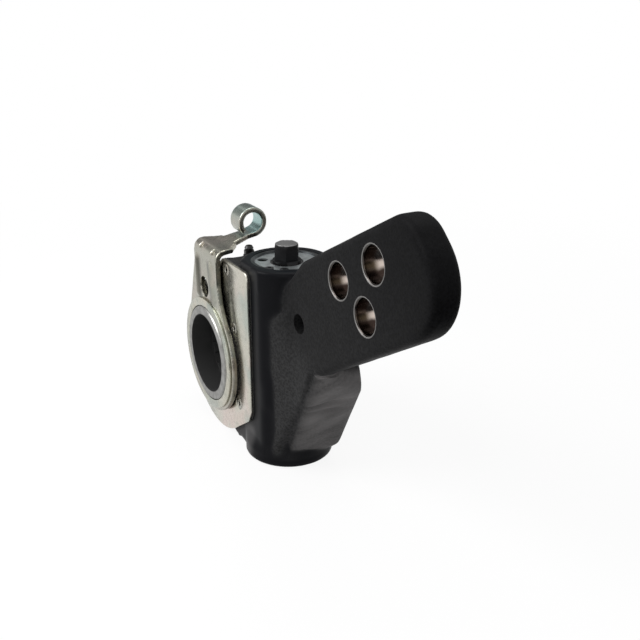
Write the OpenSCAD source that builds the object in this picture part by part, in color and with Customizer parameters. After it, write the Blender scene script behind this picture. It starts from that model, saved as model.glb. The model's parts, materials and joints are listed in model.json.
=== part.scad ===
// Self-adjusting slack adjuster for a cam-operated drum brake.
// The origin is on the axis of the splined bore, at the hub's front face.
// +X points to the lever, -Y to the control arm, and +Z along the worm to its hexagon.

/* [Splined hub] */
// Outer radius of the hub
hub_r = 24; // [23:0.1:26]
// Length of the hub along its bore
hub_len = 48; // [48:0.5:60]
// Radius at the bottom of the spline grooves
spline_major_r = 19.05; // [18:0.05:19.5]
// Radius at the top of the spline teeth
spline_minor_r = 17.3; // [15:0.1:17.8]
// Width of each spline groove
spline_w = 5.94; // [4:0.01:7]
// Number of splines
spline_count = 10; // [6:1:16]
// Radius of the smooth mouth of the bore
mouth_r = 19.75; // [19.6:0.05:21]
// Depth of the smooth mouth of the bore
mouth_len = 11; // [4:0.5:20]
// Chamfer round the hub's front face
hub_chamfer = 0.6; // [0.3:0.1:1]
// Length of the hub that stands out of the case's back
hub_out = 2; // [1:0.1:3]

/* [Worm gear] */
// Number of teeth on the worm wheel
wheel_teeth = 24; // [24:1:26]
// Height of the worm gear's pitch circle above the hub
rim_h = 3; // [3:0.05:4]
// Width of the toothed rim
wheel_face = 18; // [12:0.5:18]
// Pressure angle of all teeth
pressure_angle = 20; // [18:1:22]
// Pitch radius of the worm
worm_pitch_r = 13.34; // [12.5:0.01:13.6]
// Height of the worm thread above its pitch line
worm_add = 2.1; // [1.6:0.05:2.2]
// Distance of the worm axis behind the hub's front face
worm_y = 26; // [26:0.5:30]
// Length of the threaded part of the worm
thread_len = 32; // [26:1:34]
// Depth of the thread's root in the worm's core
thread_root = 0.4; // [0.2:0.05:0.6]
// Play between the worm and the wheel
gear_play = 0.36; // [0.2:0.02:0.5]
// Clearance at the tip of a tooth
tip_gap = 0.4; // [0.2:0.05:0.6]

/* [Worm shaft] */
// Width across the flats of the hexagon
hex_af = 10.5; // [9:0.5:11]
// Height of the hexagon above the worm housing's rim
hex_h = 7.6; // [5:0.1:12]
// Width of the chamfer on top of the hexagon
hex_ease = 0.4; // [0.2:0.05:0.8]
// Radius of the shaft above the worm
shaft_r = 6.5; // [6.4:0.1:7]
// Radius of the shaft below the worm
tail_r = 5; // [4:0.1:5.5]
// Thickness of the collar on top of the worm
collar_t = 3; // [2:0.1:4]
// Length of the clutch cone under the worm
cone_h = 2.4; // [1.5:0.1:3]

/* [Worm housing] */
// Clearance between the worm's tip and its bore
bore_gap = 1.06; // [0.8:0.02:1.4]
// Wall of the worm housing
tower_wall = 4.75; // [4:0.05:6]
// Chamfer at the ends of the worm housing
tower_chamfer = 0.9; // [0.4:0.1:1.5]
// Height of the rim above the hub axis
tower_top = 56.6; // [55:0.1:64]
// Depth of the housing's bottom below the hub
tower_deep = 16.4; // [16:0.1:22]
// Thickness of the closed bottom
tower_floor = 4.4; // [3.5:0.1:5]
// Width of the pad on the worm housing's side
pad_w = 4.4; // [3:0.1:6]
// Length of the pad below the hub axis
pad_len = 10; // [6:0.5:14]
// Height of the pad
pad_t = 0.7; // [0.4:0.1:1.2]
// Depth of the pad's root in the wall
pad_root = 2; // [1:0.1:3]

/* [Gear case] */
// Clearance between the worm wheel's tip and the chamber
chamber_gap = 0.6; // [0.5:0.05:1]
// Wall of the round part of the gear case
case_wall = 8.3; // [7.8:0.1:10]
// Offset of the round part from the hub axis, towards the worm and downwards
case_offset = 1.5; // [0:0.1:2]
// Depth of the case's flat top below the worm housing's rim
case_drop = 3.8; // [3:0.1:6]
// Distance of the case's flat front behind the hub's front face
case_front = 6.9; // [6.6:0.1:7]
// Depth of the flange behind the cover plate
flange_t = 3; // [2:0.1:3.5]
// Wall of the rear seal
rear_seal_wall = 3.45; // [2.5:0.05:4]
// Depth of the recess for the rear seal
seal_recess_t = 3.6; // [2:0.1:5]
// Height of the web's foot above the housing's bottom
heel_h = 1.5; // [1:0.1:3]

/* [Lever] */
// Distance of the lever's front face behind the hub's front face
lever_front = 15; // [13:0.1:17]
// Thickness of the lever
lever_t = 12.5; // [10:0.1:15]
// Radius of the rounded edges of the lever
lever_edge = 3; // [1:0.1:4]
// Radius from the hub axis to the inner pin hole
hole_1_reach = 126; // [120:0.5:130]
// Angle of the inner pin hole above the X axis
hole_1_angle = 32.4; // [30:0.1:34]
// Radius from the hub axis to the outer pin hole
hole_2_reach = 154; // [148:0.5:158]
// Angle of the outer pin hole above the X axis
hole_2_angle = 31.7; // [30:0.1:33]
// Radius from the hub axis to the lower pin hole
hole_3_reach = 139.5; // [135:0.5:144]
// Angle of the lower pin hole above the X axis
hole_3_angle = 25.2; // [24:0.1:26]
// Radius of the pin hole in each bush
pin_r = 7; // [6:0.1:7.5]
// Wall of the bushes
bush_wall = 1; // [0.8:0.1:1.5]
// Chamfer at the front of the bushes
bush_chamfer = 0.6; // [0.3:0.1:0.7]
// Radius of the plain hole near the root of the lever
plain_hole_r = 4.5; // [3:0.1:5]
// Radius from the hub axis to the plain hole
plain_hole_reach = 82.7; // [80:0.1:88]
// Angle of the plain hole above the X axis
plain_hole_angle = 27.5; // [25:0.5:31]
// Slope of the lever's upper edge
upper_slope = 27.5; // [26:0.5:29]
// Slope of the lever's lower edge
lower_slope = 30.5; // [29:0.5:32]
// Distance of the upper edge from the outer pin hole
upper_margin = 13.3; // [13:0.1:16]
// Distance of the lower edge from the outer pin hole
lower_margin = 31.5; // [30:0.1:34]
// Radius of the lever's round end
end_r = 22; // [20:0.1:24]
// Distance of the round end's middle beyond the outer pin hole
end_over = 12; // [8:0.5:20]
// Radius of the upper corner of the lever's end
upper_corner_r = 14; // [10:0.5:18]
// Distance of the upper corner's middle beyond the outer pin hole
upper_over = 18; // [12:0.5:20]
// Radius of the bend in the upper edge and of the lever's root
knee_r = 10; // [6:0.5:12]
// Distance from the outer pin hole back to the bend in the upper edge
knee_back = 56; // [50:0.5:60]

/* [Buttress] */
// Distance of the buttress's back from the hub's front face
buttress_back = 41; // [38:0.1:44]
// Distance from the hub axis to the buttress's nose
nose_x = 86.5; // [84:0.5:90]
// Height of the buttress's nose above the hub axis
nose_z = 8; // [4:0.5:10]
// Radius of the buttress's rounded edges
buttress_edge = 4; // [2:0.1:5]
// Height of the buttress's front corner above its nose
nose_h = 14; // [10:0.5:18]
// Height of the buttress's foot above the housing's bottom
foot_h = 4.5; // [3:0.1:6]
// Rise of the foot from the middle to the side
foot_rise = 4; // [2:0.1:6]
// Thickness of the web round the worm housing's side
web_t = 0.6; // [0.3:0.1:1]
// Height of the web's top above the hub axis
web_top = 37.5; // [34:0.5:42]

/* [Cover plate] */
// Distance from the worm axis to the plate's straight side
plate_over = 1.66; // [0:0.02:4]
// Thickness of the plate
plate_t = 1.5; // [1:0.1:1.7]
// Thickness of the gasket under the plate
gasket_t = 0.4; // [0.2:0.05:0.6]
// Radius of the plate's corners
plate_corner_r = 4; // [2:0.1:6]
// Clearance between the collar and the plate's opening
plate_gap = 0.6; // [0.4:0.05:1]
// Radius of the screw shanks
screw_r = 2; // [1.5:0.1:2.1]
// Radius of the screw heads
screw_head_r = 2.9; // [2.5:0.1:3.1]
// Length of the screws
screw_len = 9; // [6:0.5:10]
// Distance of the ring of screws from the chamber's wall
screw_inset = 3.3; // [2.8:0.1:3.8]
// Distance of the upper screw from the plate's upper edge
corner_drop = 4.5; // [4:0.1:6]
// Distance of the plate's upper left corner from the hub axis
plate_left = 14; // [13:0.1:15]
// Depth of the plate's straight side below the hub axis
side_low = 16; // [12:0.5:18]
// Width of the chamfer at the bottom of the plate's straight side
side_in = 3; // [2:0.1:4]
// Height of the chamfer at the bottom of the plate's straight side
side_fall = 6; // [4:0.1:8]

/* [Control arm] */
// Thickness of the arm's plate
arm_t = 2.6; // [2:0.1:2.8]
// Distance of the arm's front face behind the hub's front face
arm_front = 1.6; // [1.2:0.1:1.8]
// Width of the arm's round base outside the ring's flange
base_w = 1.6; // [1:0.1:2.5]
// Width of the strap
strap_w = 28; // [24:0.5:29]
// Height of the strap's top face above the hub axis
strap_top = 56.4; // [56.2:0.1:60]
// Outer radius of the bend at the top of the strap
bend_r = 5; // [4:0.1:5.2]
// Radius of the hole in the strap
strap_hole_r = 5.1; // [4:0.1:5.3]
// Height of the hole in the strap above the hub axis
strap_hole_z = 34.4; // [34:0.1:38]
// Offset of the hole in the strap from its middle
strap_hole_x = -2; // [-3:0.1:1]
// Distance from the bend to the start of the rising neck
level_len = 4; // [3:0.1:5]
// Width of the neck at its start
neck_w = 25; // [22:0.5:26]
// Width of the neck at its step
step_w = 16; // [14:0.5:18]
// Distance from the neck's start to its step
step_at = 4.6; // [4:0.1:6]
// Depth of the step on each side
step_in = 1.6; // [1:0.1:2]
// Narrowest width of the neck
waist_w = 9; // [8:0.5:10]
// Height of the ribs pressed into the strap
rib_h = 0.6; // [0.3:0.05:0.8]
// Radius of the ribs
rib_r = 1.5; // [1:0.1:2]
// Length of the ribs
rib_len = 11; // [8:0.5:12]
// Distance of each rib from the strap's hole
rib_away = 8.6; // [8:0.1:9]
// Inner radius of the curled eye
eye_r = 4.8; // [4:0.1:5.5]
// Width of the curled eye
eye_w = 11; // [9:0.5:14]
// Distance of the eye's axis behind the hub's front face
eye_y = 25.4; // [24.5:0.1:28]
// Height of the eye's axis above the hub axis
eye_z = 65.5; // [65:0.1:70]

/* [Control ring] */
// Clearance between the ring and the hub
ring_gap = 0.3; // [0.2:0.05:0.5]
// Wall of the ring's collar
collar_wall = 2.3; // [2:0.05:2.4]
// Width of the ring's front flange
flange_w = 1.8; // [1.2:0.1:2.2]
// Distance of the ring's front face behind the hub's front face
flange_front = 0.4; // [0:0.1:0.6]
// Thickness of the notched disc
disc_t = 2.2; // [1.6:0.1:2.4]
// Clearance between the notched disc and the chamber
disc_gap = 0.5; // [0.4:0.05:0.8]

/* [Rack and pinion] */
// Number of teeth on the pinion
pinion_teeth = 11; // [11:1:12]
// Module of the rack and pinion
rack_module = 2; // [1.8:0.05:2]
// Height of a rack tooth above its pitch line
rack_add = 1.2; // [1:0.05:1.4]
// Height of the rack and of the pinion's teeth
rack_h = 8; // [6:0.1:8]
// Play between the rack and the pinion
rack_play = 0.3; // [0.2:0.02:0.5]
// Distance of the lug's axis below the collar
lug_drop = 0.6; // [0.4:0.05:0.8]
// Radius of the rack's lug
lug_r = 1.6; // [1.4:0.05:1.7]
// Distance of the rack's middle below the lug
rack_drop = 1; // [0.8:0.1:1.2]
// Height of the rack's bar behind its teeth
bar_back = 1; // [0.8:0.1:1.2]
// Clearance round the rack in its tunnel
tunnel_gap = 0.2; // [0.15:0.05:0.3]
// Free length of the tunnel at the rack's end
tunnel_end = 2; // [1:0.1:3]
// Thickness of the washer under the pinion
washer_t = 1.8; // [1.2:0.1:1.8]
// Angle that the control arm swings through
swing = 18; // [14:1:18]

/* [Worm stack] */
// Thickness of the top cap
cap_t = 7; // [6:0.1:8]
// Thickness of the snap ring
snap_t = 1; // [0.8:0.1:1.5]
// Width of the snap ring
snap_w = 2.2; // [1.8:0.1:3]
// Depth of the snap ring's seat in the bore's wall
snap_grip = 0.6; // [0.4:0.05:0.8]
// Depth of the snap ring below the rim
snap_sink = 0.2; // [0.1:0.05:0.4]
// Gap round the pieces that are stacked in the bore
stack_gap = 0.5; // [0.4:0.05:0.6]
// Length of the worm's tail in the closed bottom
tail_in = 2; // [1.5:0.1:2.5]
// Radius of the snap ring's ears
ear_r = 2; // [1.5:0.1:2.2]
// Radius of the spanner holes in the cap
spanner_r = 2.4; // [1.5:0.1:2.6]
// Depth of the spanner holes
spanner_deep = 3; // [2:0.1:4]
// Radius from the worm axis to the spanner holes
spanner_reach = 11.4; // [11:0.1:11.8]
// Wall of the shaft seal
seal_wall = 1.1; // [0.8:0.05:1.2]
// Depth of the shaft seal below the cap's top
seal_sink = 0.4; // [0.2:0.05:0.6]
// Radius of the main spring's wire
spring_wire_r = 1.7; // [1.3:0.05:1.8]
// Number of turns of the main spring
spring_turns = 4.5; // [3:0.5:5]
// Thickness of the spring seat
seat_t = 2; // [1.5:0.1:2.5]
// Thickness of a thrust race
race_t = 1.5; // [1:0.1:1.8]
// Radius of the thrust balls
ball_r = 1.5; // [1.2:0.05:1.6]
// Number of thrust balls
ball_count = 12; // [8:1:14]
// Distance of the clutch wheel's rim inside the stack
clutch_in = 2; // [1.5:0.1:2.5]
// Distance of the thrust races' rims inside the stack
race_in = 1.2; // [1:0.1:1.5]
// Thickness of the clutch wheel's rim
clutch_t = 4.4; // [4:0.1:4.8]
// Radius of the clutch hubs
clutch_hub_r = 8; // [7.5:0.1:8.2]
// Radius of the clutch spring's wire
clutch_wire_r = 0.7; // [0.5:0.05:0.8]

/* [Grease nipple] */
// Distance of the nipple from the worm axis
nipple_away = 28; // [27:0.1:28.5]
// Distance of the nipple behind the hub's front face
nipple_y = 19.8; // [19:0.1:21]
// Radius of the nipple's body
nipple_r = 2.2; // [1.8:0.1:2.4]
// Height of the nipple above the case
nipple_h = 3.8; // [3:0.1:8]
// Depth of the nipple's thread in the case
nipple_deep = 8; // [6:0.5:10]
// Radius of the grease channel
channel_r = 0.6; // [0.4:0.05:0.8]
// Width of the case's top beside the nipple
nipple_edge = 0.6; // [0.4:0.1:1]
// Length of the case's top behind the nipple
nipple_rear = 3; // [2:0.1:4]

/* [Hidden] */
$fn = 64;

// Clearances
running = 0.05;
clear = 0.3;
eps = 0.01;
past = 1;
groove_gap = 0.1;
pad_angle = -54;

// Worm gear, with the worm's thread on the wheel's pitch circle
wheel_pitch_r = hub_r + rim_h;
gear_module = 2 * wheel_pitch_r / wheel_teeth;
worm_x = wheel_pitch_r + worm_pitch_r;
worm_pitch = PI * gear_module;
worm_tip_r = worm_pitch_r + worm_add;
wheel_tip_r = wheel_pitch_r + worm_add;
wheel_root_r = worm_x - worm_tip_r - tip_gap;
worm_root_r = worm_x - wheel_tip_r - tip_gap;
lead_angle = atan(worm_pitch / (2 * PI * worm_pitch_r));
wheel_front = worm_y - wheel_face / 2;
wheel_back = worm_y + wheel_face / 2;
chamber_r = wheel_tip_r + chamber_gap;
chamber_back = wheel_back + clear;
tower_bore_r = worm_tip_r + bore_gap;
tower_r = tower_bore_r + tower_wall;
tower_low = hub_r + tower_deep;

// Gear case
case_r = chamber_r + case_wall;
case_mid = case_offset * [1, -1];
case_top = tower_top - case_drop;
case_back = hub_len - hub_out;
seal_recess_r = hub_r + running + rear_seal_wall;
plate_side = worm_x + plate_over;
nipple_x = worm_x - nipple_away;
bush_bore_r = pin_r + bush_wall;

// Control ring, from the front to the back
collar_r = hub_r + ring_gap + collar_wall;
flange_r = collar_r + flange_w;
arm_base_r = flange_r + base_w;
plate_hole_r = collar_r + plate_gap;
lug_z = collar_r + lug_drop;
plate_front = case_front - gasket_t - plate_t;
disc_front = case_front + clear;
disc_back = disc_front + disc_t;
disc_r = chamber_r - disc_gap;

// Rack and pinion, with the rack in front of the worm axis
pinion_pitch_r = rack_module * pinion_teeth / 2;
rack_pitch_y = worm_y - pinion_pitch_r;
rack_root_y = rack_pitch_y - rack_add - bar_back;
rack_back_y = disc_back + clear;
rack_pitch = PI * rack_module;
rack_mid_z = -lug_z - lug_r - rack_drop;
rack_top = rack_mid_z + rack_h / 2;
rack_low = rack_mid_z - rack_h / 2;
rack_travel = lug_z * swing * PI / 180;
lug_x = -rack_travel / 2;
rack_left = lug_x - 3 * lug_r;
rack_right = worm_x + 0.35 * rack_pitch;
rack_mesh_left = worm_x - rack_travel - rack_pitch;

// Worm stack from the middle upwards
collar_top = thread_len / 2 + collar_t;
race_low_top = collar_top + race_t;
race_up_low = race_low_top + 2 * ball_r + running;
seat_low = race_up_low + race_t;
spring_low = seat_low + seat_t;
snap_top = tower_top - snap_sink;
cap_top = snap_top - snap_t;
cap_low = cap_top - cap_t;
snap_r = tower_bore_r + snap_grip;

// Worm stack from the middle downwards
cone_top = -thread_len / 2;
cone_low = cone_top - cone_h;
clutch_low = cone_top - clutch_t;
floor_z = -tower_low + tower_floor;
washer_top = floor_z + washer_t;
pinion_low = washer_top + clear;
pinion_top = rack_top;
hub_split = (clutch_low + pinion_top) / 2;
tail_low = floor_z - tail_in;
stack_r = tower_bore_r - stack_gap;

// Places on the lever
function polar(reach, angle) = reach * [cos(angle), sin(angle)];
hole_1 = polar(hole_1_reach, hole_1_angle);
hole_2 = polar(hole_2_reach, hole_2_angle);
hole_3 = polar(hole_3_reach, hole_3_angle);
plain_hole = polar(plain_hole_reach, plain_hole_angle);
upper_dir = [cos(upper_slope), sin(upper_slope)];
upper_normal = [-sin(upper_slope), cos(upper_slope)];
lower_dir = [cos(lower_slope), sin(lower_slope)];
lower_normal = [sin(lower_slope), -cos(lower_slope)];
end_mid = hole_2 + end_over * lower_dir + (lower_margin - end_r) * lower_normal;
upper_corner = hole_2 + upper_over * upper_dir + (upper_margin - upper_corner_r) * upper_normal;
knee = hole_2 - knee_back * upper_dir + (upper_margin - knee_r) * upper_normal;
root_upper_x = worm_x + 0.67 * tower_r;
root_upper = [root_upper_x, knee[1] - (knee[0] - root_upper_x)];
root_lower = [nose_x - 1.5 * buttress_edge, nose_z + 1.3 * nose_h];
lever_rounds = [
    [root_lower, knee_r],
    [root_upper, knee_r],
    [knee, knee_r],
    [upper_corner, upper_corner_r],
    [end_mid, end_r]
];

// Places of the cover screws, by angle on their ring, and one near the plate's top
screw_angles = [40, 105, 205, 245, 329];
screw_ring_r = chamber_r + screw_inset;
corner_screw = [plate_left + corner_drop, case_top - corner_drop];
screw_places = concat([corner_screw], [for (a = screw_angles) polar(screw_ring_r, a)]);

// A flat outline in X and Z, made solid from y over a depth of t
module slab(y, t) {
    translate([0, y + t, 0])
        rotate([90, 0, 0])
            linear_extrude(t)
                children();
}

// A cylinder along Y, from y0 to y1
module rod_y(r, y0, y1, at = [0, 0]) {
    translate([at[0], y1, at[1]])
        rotate([90, 0, 0])
            cylinder(r = r, h = y1 - y0);
}

// A cylinder on the worm axis, from z0 to z1
module rod_w(r, z0, z1) {
    translate([worm_x, worm_y, z0])
        cylinder(r = r, h = z1 - z0);
}

// A ring along Y
module ring_y(r_in, r_out, y0, y1) {
    difference() {
        rod_y(r_out, y0, y1);
        rod_y(r_in, y0 - past, y1 + past);
    }
}

// A ring on the worm axis
module ring_w(r_in, r_out, z0, z1) {
    difference() {
        rod_w(r_out, z0, z1);
        rod_w(r_in, z0 - past, z1 + past);
    }
}

// Points of a profile in radius and height, carried along a screw line
function screw_points(profile, turns, lead, steps) = [
    for (i = [0 : steps], p = profile)
        let (a = 360 * turns * i / steps)
        [p[0] * cos(a), p[0] * sin(a), p[1] + lead * turns * i / steps]
];

// Side faces between neighbouring profiles, then the two ends
function screw_faces(n, steps) = concat(
    [for (i = [0 : steps - 1], k = [0 : n - 1])
        [i * n + k, (i + 1) * n + k, i * n + (k + 1) % n]],
    [for (i = [0 : steps - 1], k = [0 : n - 1])
        [i * n + (k + 1) % n, (i + 1) * n + k, (i + 1) * n + (k + 1) % n]],
    [[for (k = [0 : n - 1]) k]],
    [[for (k = [n - 1 : -1 : 0]) steps * n + k]]
);

// A profile of radius and height swept along a right-hand screw line about Z
module screw_sweep(profile, turns, lead, steps) {
    polyhedron(screw_points(profile, turns, lead, steps), screw_faces(len(profile), steps), 10);
}

// A coil of round wire about the worm axis, from z0 to z1 over its wire
module coil(mean_r, wire_r, z0, z1, turns, steps, sides) {
    wire = [for (k = [0 : sides - 1]) [mean_r + wire_r * cos(-360 * k / sides), wire_r * sin(-360 * k / sides)]];
    translate([worm_x, worm_y, z0 + wire_r])
        screw_sweep(wire, turns, (z1 - z0 - 2 * wire_r) / turns, steps);
}

// Involute of an angle in degrees
function involute(a) = tan(a) * 180 / PI - a;

// Half angle of a gap between teeth, at radius r, on a gear of pitch radius rp
function gap_half(r, rp, teeth, play) =
    let (base = rp * cos(pressure_angle))
    let (at_r = acos(min(1, base / r)))
    90 / teeth - involute(pressure_angle) + involute(at_r) + play / rp * 90 / PI;

// Outline of one gap between teeth, open at the tip
module tooth_gap(rp, root, tip, teeth, play) {
    radii = [root, rp * cos(pressure_angle), rp, (rp + tip) / 2, tip, tip + past];
    side = [for (r = radii) [r, gap_half(r, rp, teeth, play)]];
    polygon(concat(
        [for (s = side) polar(s[0], s[1])],
        [for (i = [len(side) - 1 : -1 : 0]) polar(side[i][0], -side[i][1])]
    ));
}

// Outline of the cover plate's part over the worm, with its rounded corner
module plate_corner() {
    corner = [plate_side - plate_corner_r, case_top - plate_corner_r];
    polygon(concat(
        [polar(0.9 * case_r, 128), [plate_left, case_top]],
        [for (a = [90 : -15 : 0]) corner + polar(plate_corner_r, a)],
        [[plate_side, -side_low], [plate_side - side_in, -side_low - side_fall], polar(0.9 * case_r, -64)]
    ));
}

// Shape of the cover plate, from y over a depth of t: a round part and the part over the worm
module plate_body(y, t) {
    rod_y(case_r, y, y + t, case_mid);
    slab(y, t)
        plate_corner();
}

// Gear case: a drum, a flange behind the plate and the web to the foot of the worm housing
module case_body() {
    depth = case_back - case_front;
    rod_y(case_r, case_front, case_back, case_mid);
    slab(case_front, flange_t)
        plate_corner();
    slab(case_front, depth)
        polygon([
            [0, 0],
            polar(0.98 * case_r, -72),
            [worm_x - 0.7 * tower_r, -tower_low + heel_h],
            [worm_x, -tower_low + heel_h],
            [worm_x, 0]
        ]);
    // Straight side of the drum towards the worm
    slab(case_front, depth)
        polygon([
            [0, 0],
            [worm_x, -side_low - side_fall],
            [worm_x, chamber_r],
            polar(0.9 * case_r, 60)
        ]);
}

// Worm housing: a round column, its web to the plate and the pad on its side
module tower() {
    c = tower_chamfer;
    translate([worm_x, worm_y, -tower_low])
        rotate_extrude()
            polygon([
                [0, 0],
                [tower_r - c, 0],
                [tower_r, c],
                [tower_r, tower_low + tower_top - c],
                [tower_r - c, tower_low + tower_top],
                [0, tower_low + tower_top]
            ]);
    translate([0, 0, -side_low])
        linear_extrude(case_top + side_low)
            polygon([
                [plate_left + nipple_edge, case_front],
                [plate_left, worm_y - 0.5 * tower_r],
                [nipple_x - nipple_r - nipple_edge, nipple_y - nipple_r / 2],
                [nipple_x - nipple_r - nipple_edge, nipple_y + nipple_rear],
                [worm_x - 0.9 * tower_r, worm_y + 0.3 * tower_r],
                [worm_x, worm_y],
                [worm_x, case_front]
            ]);
    translate([worm_x, worm_y, -pad_len])
        rotate([0, 0, pad_angle])
            translate([tower_r - pad_root, -pad_w / 2, 0])
                cube([pad_root + pad_t, pad_w, 1.3 * pad_len]);
}

// Lever with rounded edges, as one smooth body
module lever() {
    hull()
        for (round = lever_rounds, a = [0 : 30 : 90]) {
            inset = lever_edge * (1 - sin(a));
            depth = lever_edge * (1 - cos(a));
            rod_y(round[1] - inset, lever_front + depth, lever_front + lever_t - depth, round[0], $fn = 48);
        }
}

// Buttress from the lever's lower edge down to the foot of the worm housing
module buttress() {
    e = buttress_edge;
    front = lever_front + e;
    back = buttress_back - e;
    low = -tower_low + foot_h + e;
    front_places = [
        [worm_x + 0.4 * tower_r, low],
        [worm_x + 0.8 * tower_r, low + foot_rise],
        [nose_x - 0.8 * e, nose_z + nose_h],
        [worm_x + 0.9 * tower_r, nose_z + 2 * nose_h]
    ];
    back_places = [
        [worm_x + 0.3 * tower_r, low + 0.2 * e],
        [worm_x + 0.9 * tower_r, low + 0.5 * e],
        [worm_x + 1.1 * tower_r, low + 1.3 * foot_rise],
        [nose_x - e, nose_z],
        [nose_x - 1.6 * e, nose_z + 0.6 * nose_h],
        [worm_x + 0.8 * tower_r, nose_z + 1.4 * nose_h]
    ];
    hull() {
        for (p = front_places)
            translate([p[0], front, p[1]])
                sphere(r = e, $fn = 24);
        for (p = back_places)
            translate([p[0], back, p[1]])
                sphere(r = e, $fn = 24);
    }
}

// Web that runs from the lever's front face round the side of the worm housing
module root_web() {
    start = [worm_x, worm_y] + polar(0.9 * tower_r, pad_angle + 8);
    side = [worm_x, worm_y] + polar(tower_r + web_t, pad_angle + 8);
    low = -tower_low + foot_h;
    intersection() {
        translate([0, 0, low])
            linear_extrude(tower_low + tower_top)
                polygon([
                    start,
                    side,
                    [worm_x + 1.4 * tower_r, lever_front + web_t / 2],
                    [worm_x + 1.4 * tower_r, lever_front + lever_t / 2],
                    [worm_x, worm_y]
                ]);
        slab(0, worm_y)
            polygon([
                [side[0] - past, low + foot_rise],
                [side[0] - past, web_top],
                root_upper,
                knee,
                [nose_x - 2 * buttress_edge, nose_z + nose_h],
                [worm_x + tower_r - buttress_edge, low + foot_rise],
                [worm_x + 0.6 * tower_r, low]
            ]);
    }
}

// Forged body with the worm housing and the lever
module housing() {
    color("#232427")
    difference() {
        union() {
            case_body();
            tower();
            lever();
            buttress();
            root_web();
        }
        // Machined front for the cover plate
        translate([-2 * case_r, case_front - 2 * tower_r, -2 * tower_low])
            cube([4 * case_r, 2 * tower_r, 2 * (tower_low + tower_top)]);
        // Chamber of the worm wheel and the hub's rear bearing
        rod_y(chamber_r, case_front - past, chamber_back);
        rod_y(hub_r + running, case_front, case_back + past);
        rod_y(seal_recess_r, case_back - seal_recess_t, case_back + past);
        // Bore of the worm, its tail bearing and the groove of the snap ring
        rod_w(tower_bore_r, floor_z, tower_top + past);
        rod_w(tail_r + running, tail_low - clear, floor_z + past);
        rod_w(snap_r + groove_gap, cap_top - groove_gap, snap_top + groove_gap);
        // Tunnel of the rack
        translate([rack_left - tunnel_end, rack_back_y - tunnel_gap, rack_low - tunnel_gap])
            cube([
                rack_right + rack_travel + 2 * tunnel_gap - rack_left + tunnel_end,
                rack_pitch_y + rack_add + clear - rack_back_y + tunnel_gap,
                rack_h + 2 * tunnel_gap
            ]);
        // Bores of the lever
        for (c = [hole_1, hole_2, hole_3])
            rod_y(bush_bore_r, lever_front - past, lever_front + lever_t + past, c);
        rod_y(plain_hole_r, lever_front - past, lever_front + lever_t + past, plain_hole);
        // Holes of the cover screws and of the grease nipple
        for (c = screw_places)
            rod_y(screw_r + running, case_front - past, plate_front + screw_len + past, c);
        translate([nipple_x, nipple_y, 0])
            cylinder(r = nipple_r + running, h = case_top + past);
    }
}

// Steel bushes pressed into the lever
module lever_bushings() {
    color("#a8957c")
    for (c = [hole_1, hole_2, hole_3])
        difference() {
            rod_y(bush_bore_r, lever_front, lever_front + lever_t, c);
            rod_y(pin_r, lever_front - past, lever_front + lever_t + past, c);
            translate([c[0], lever_front - eps, c[1]])
                rotate([-90, 0, 0])
                    cylinder(r1 = pin_r + bush_chamfer, r2 = pin_r, h = bush_chamfer);
        }
}

// Plated cover of the gear case
module cover_plate() {
    color("#b9b8a6")
    difference() {
        plate_body(plate_front, plate_t);
        rod_y(plate_hole_r, plate_front - past, case_front);
        for (c = screw_places) {
            rod_y(screw_r + running, plate_front - past, case_front, c);
            rod_y(screw_head_r + running, plate_front - past, plate_front + plate_t * 0.6, c);
        }
    }
}

// Flat gasket between the cover and the case
module cover_gasket() {
    color("#4a4a44")
    difference() {
        plate_body(plate_front + plate_t, gasket_t);
        rod_y(chamber_r, plate_front, case_front + past);
        for (c = screw_places)
            rod_y(screw_r + running, plate_front, case_front + past, c);
    }
}

// Flush screws of the cover, with a hexagon socket each
module cover_screws() {
    color("#8c8d88")
    for (c = screw_places)
        difference() {
            union() {
                rod_y(screw_r, plate_front, plate_front + screw_len, c);
                rod_y(screw_head_r, plate_front, plate_front + plate_t * 0.6, c);
            }
            rod_y(screw_r * 0.7, plate_front - past, plate_front + plate_t * 0.8, c, $fn = 6);
        }
}

// The arm's flat part: a round base, a strap with a flare on each side and two pressed ribs
module arm_flat() {
    rod_y(arm_base_r, arm_front, arm_front + arm_t);
    slab(arm_front, arm_t)
        polygon([
            polar(0.98 * arm_base_r, 38),
            [0.58 * strap_w, arm_base_r],
            [strap_w / 2, strap_hole_z + strap_hole_r],
            [strap_w / 2, strap_top - bend_r],
            [-strap_w / 2, strap_top - bend_r],
            [-strap_w / 2, strap_top - 2 * bend_r],
            polar(0.98 * arm_base_r, 142)
        ]);
    for (side = [-1, 1])
        translate([strap_hole_x + side * rib_away, arm_front + rib_r - rib_h, strap_hole_z + strap_hole_r - rib_r]) {
            cylinder(r = rib_r, h = rib_len, $fn = 32);
            sphere(r = rib_r, $fn = 32);
            translate([0, 0, rib_len])
                sphere(r = rib_r, $fn = 32);
        }
}

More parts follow.
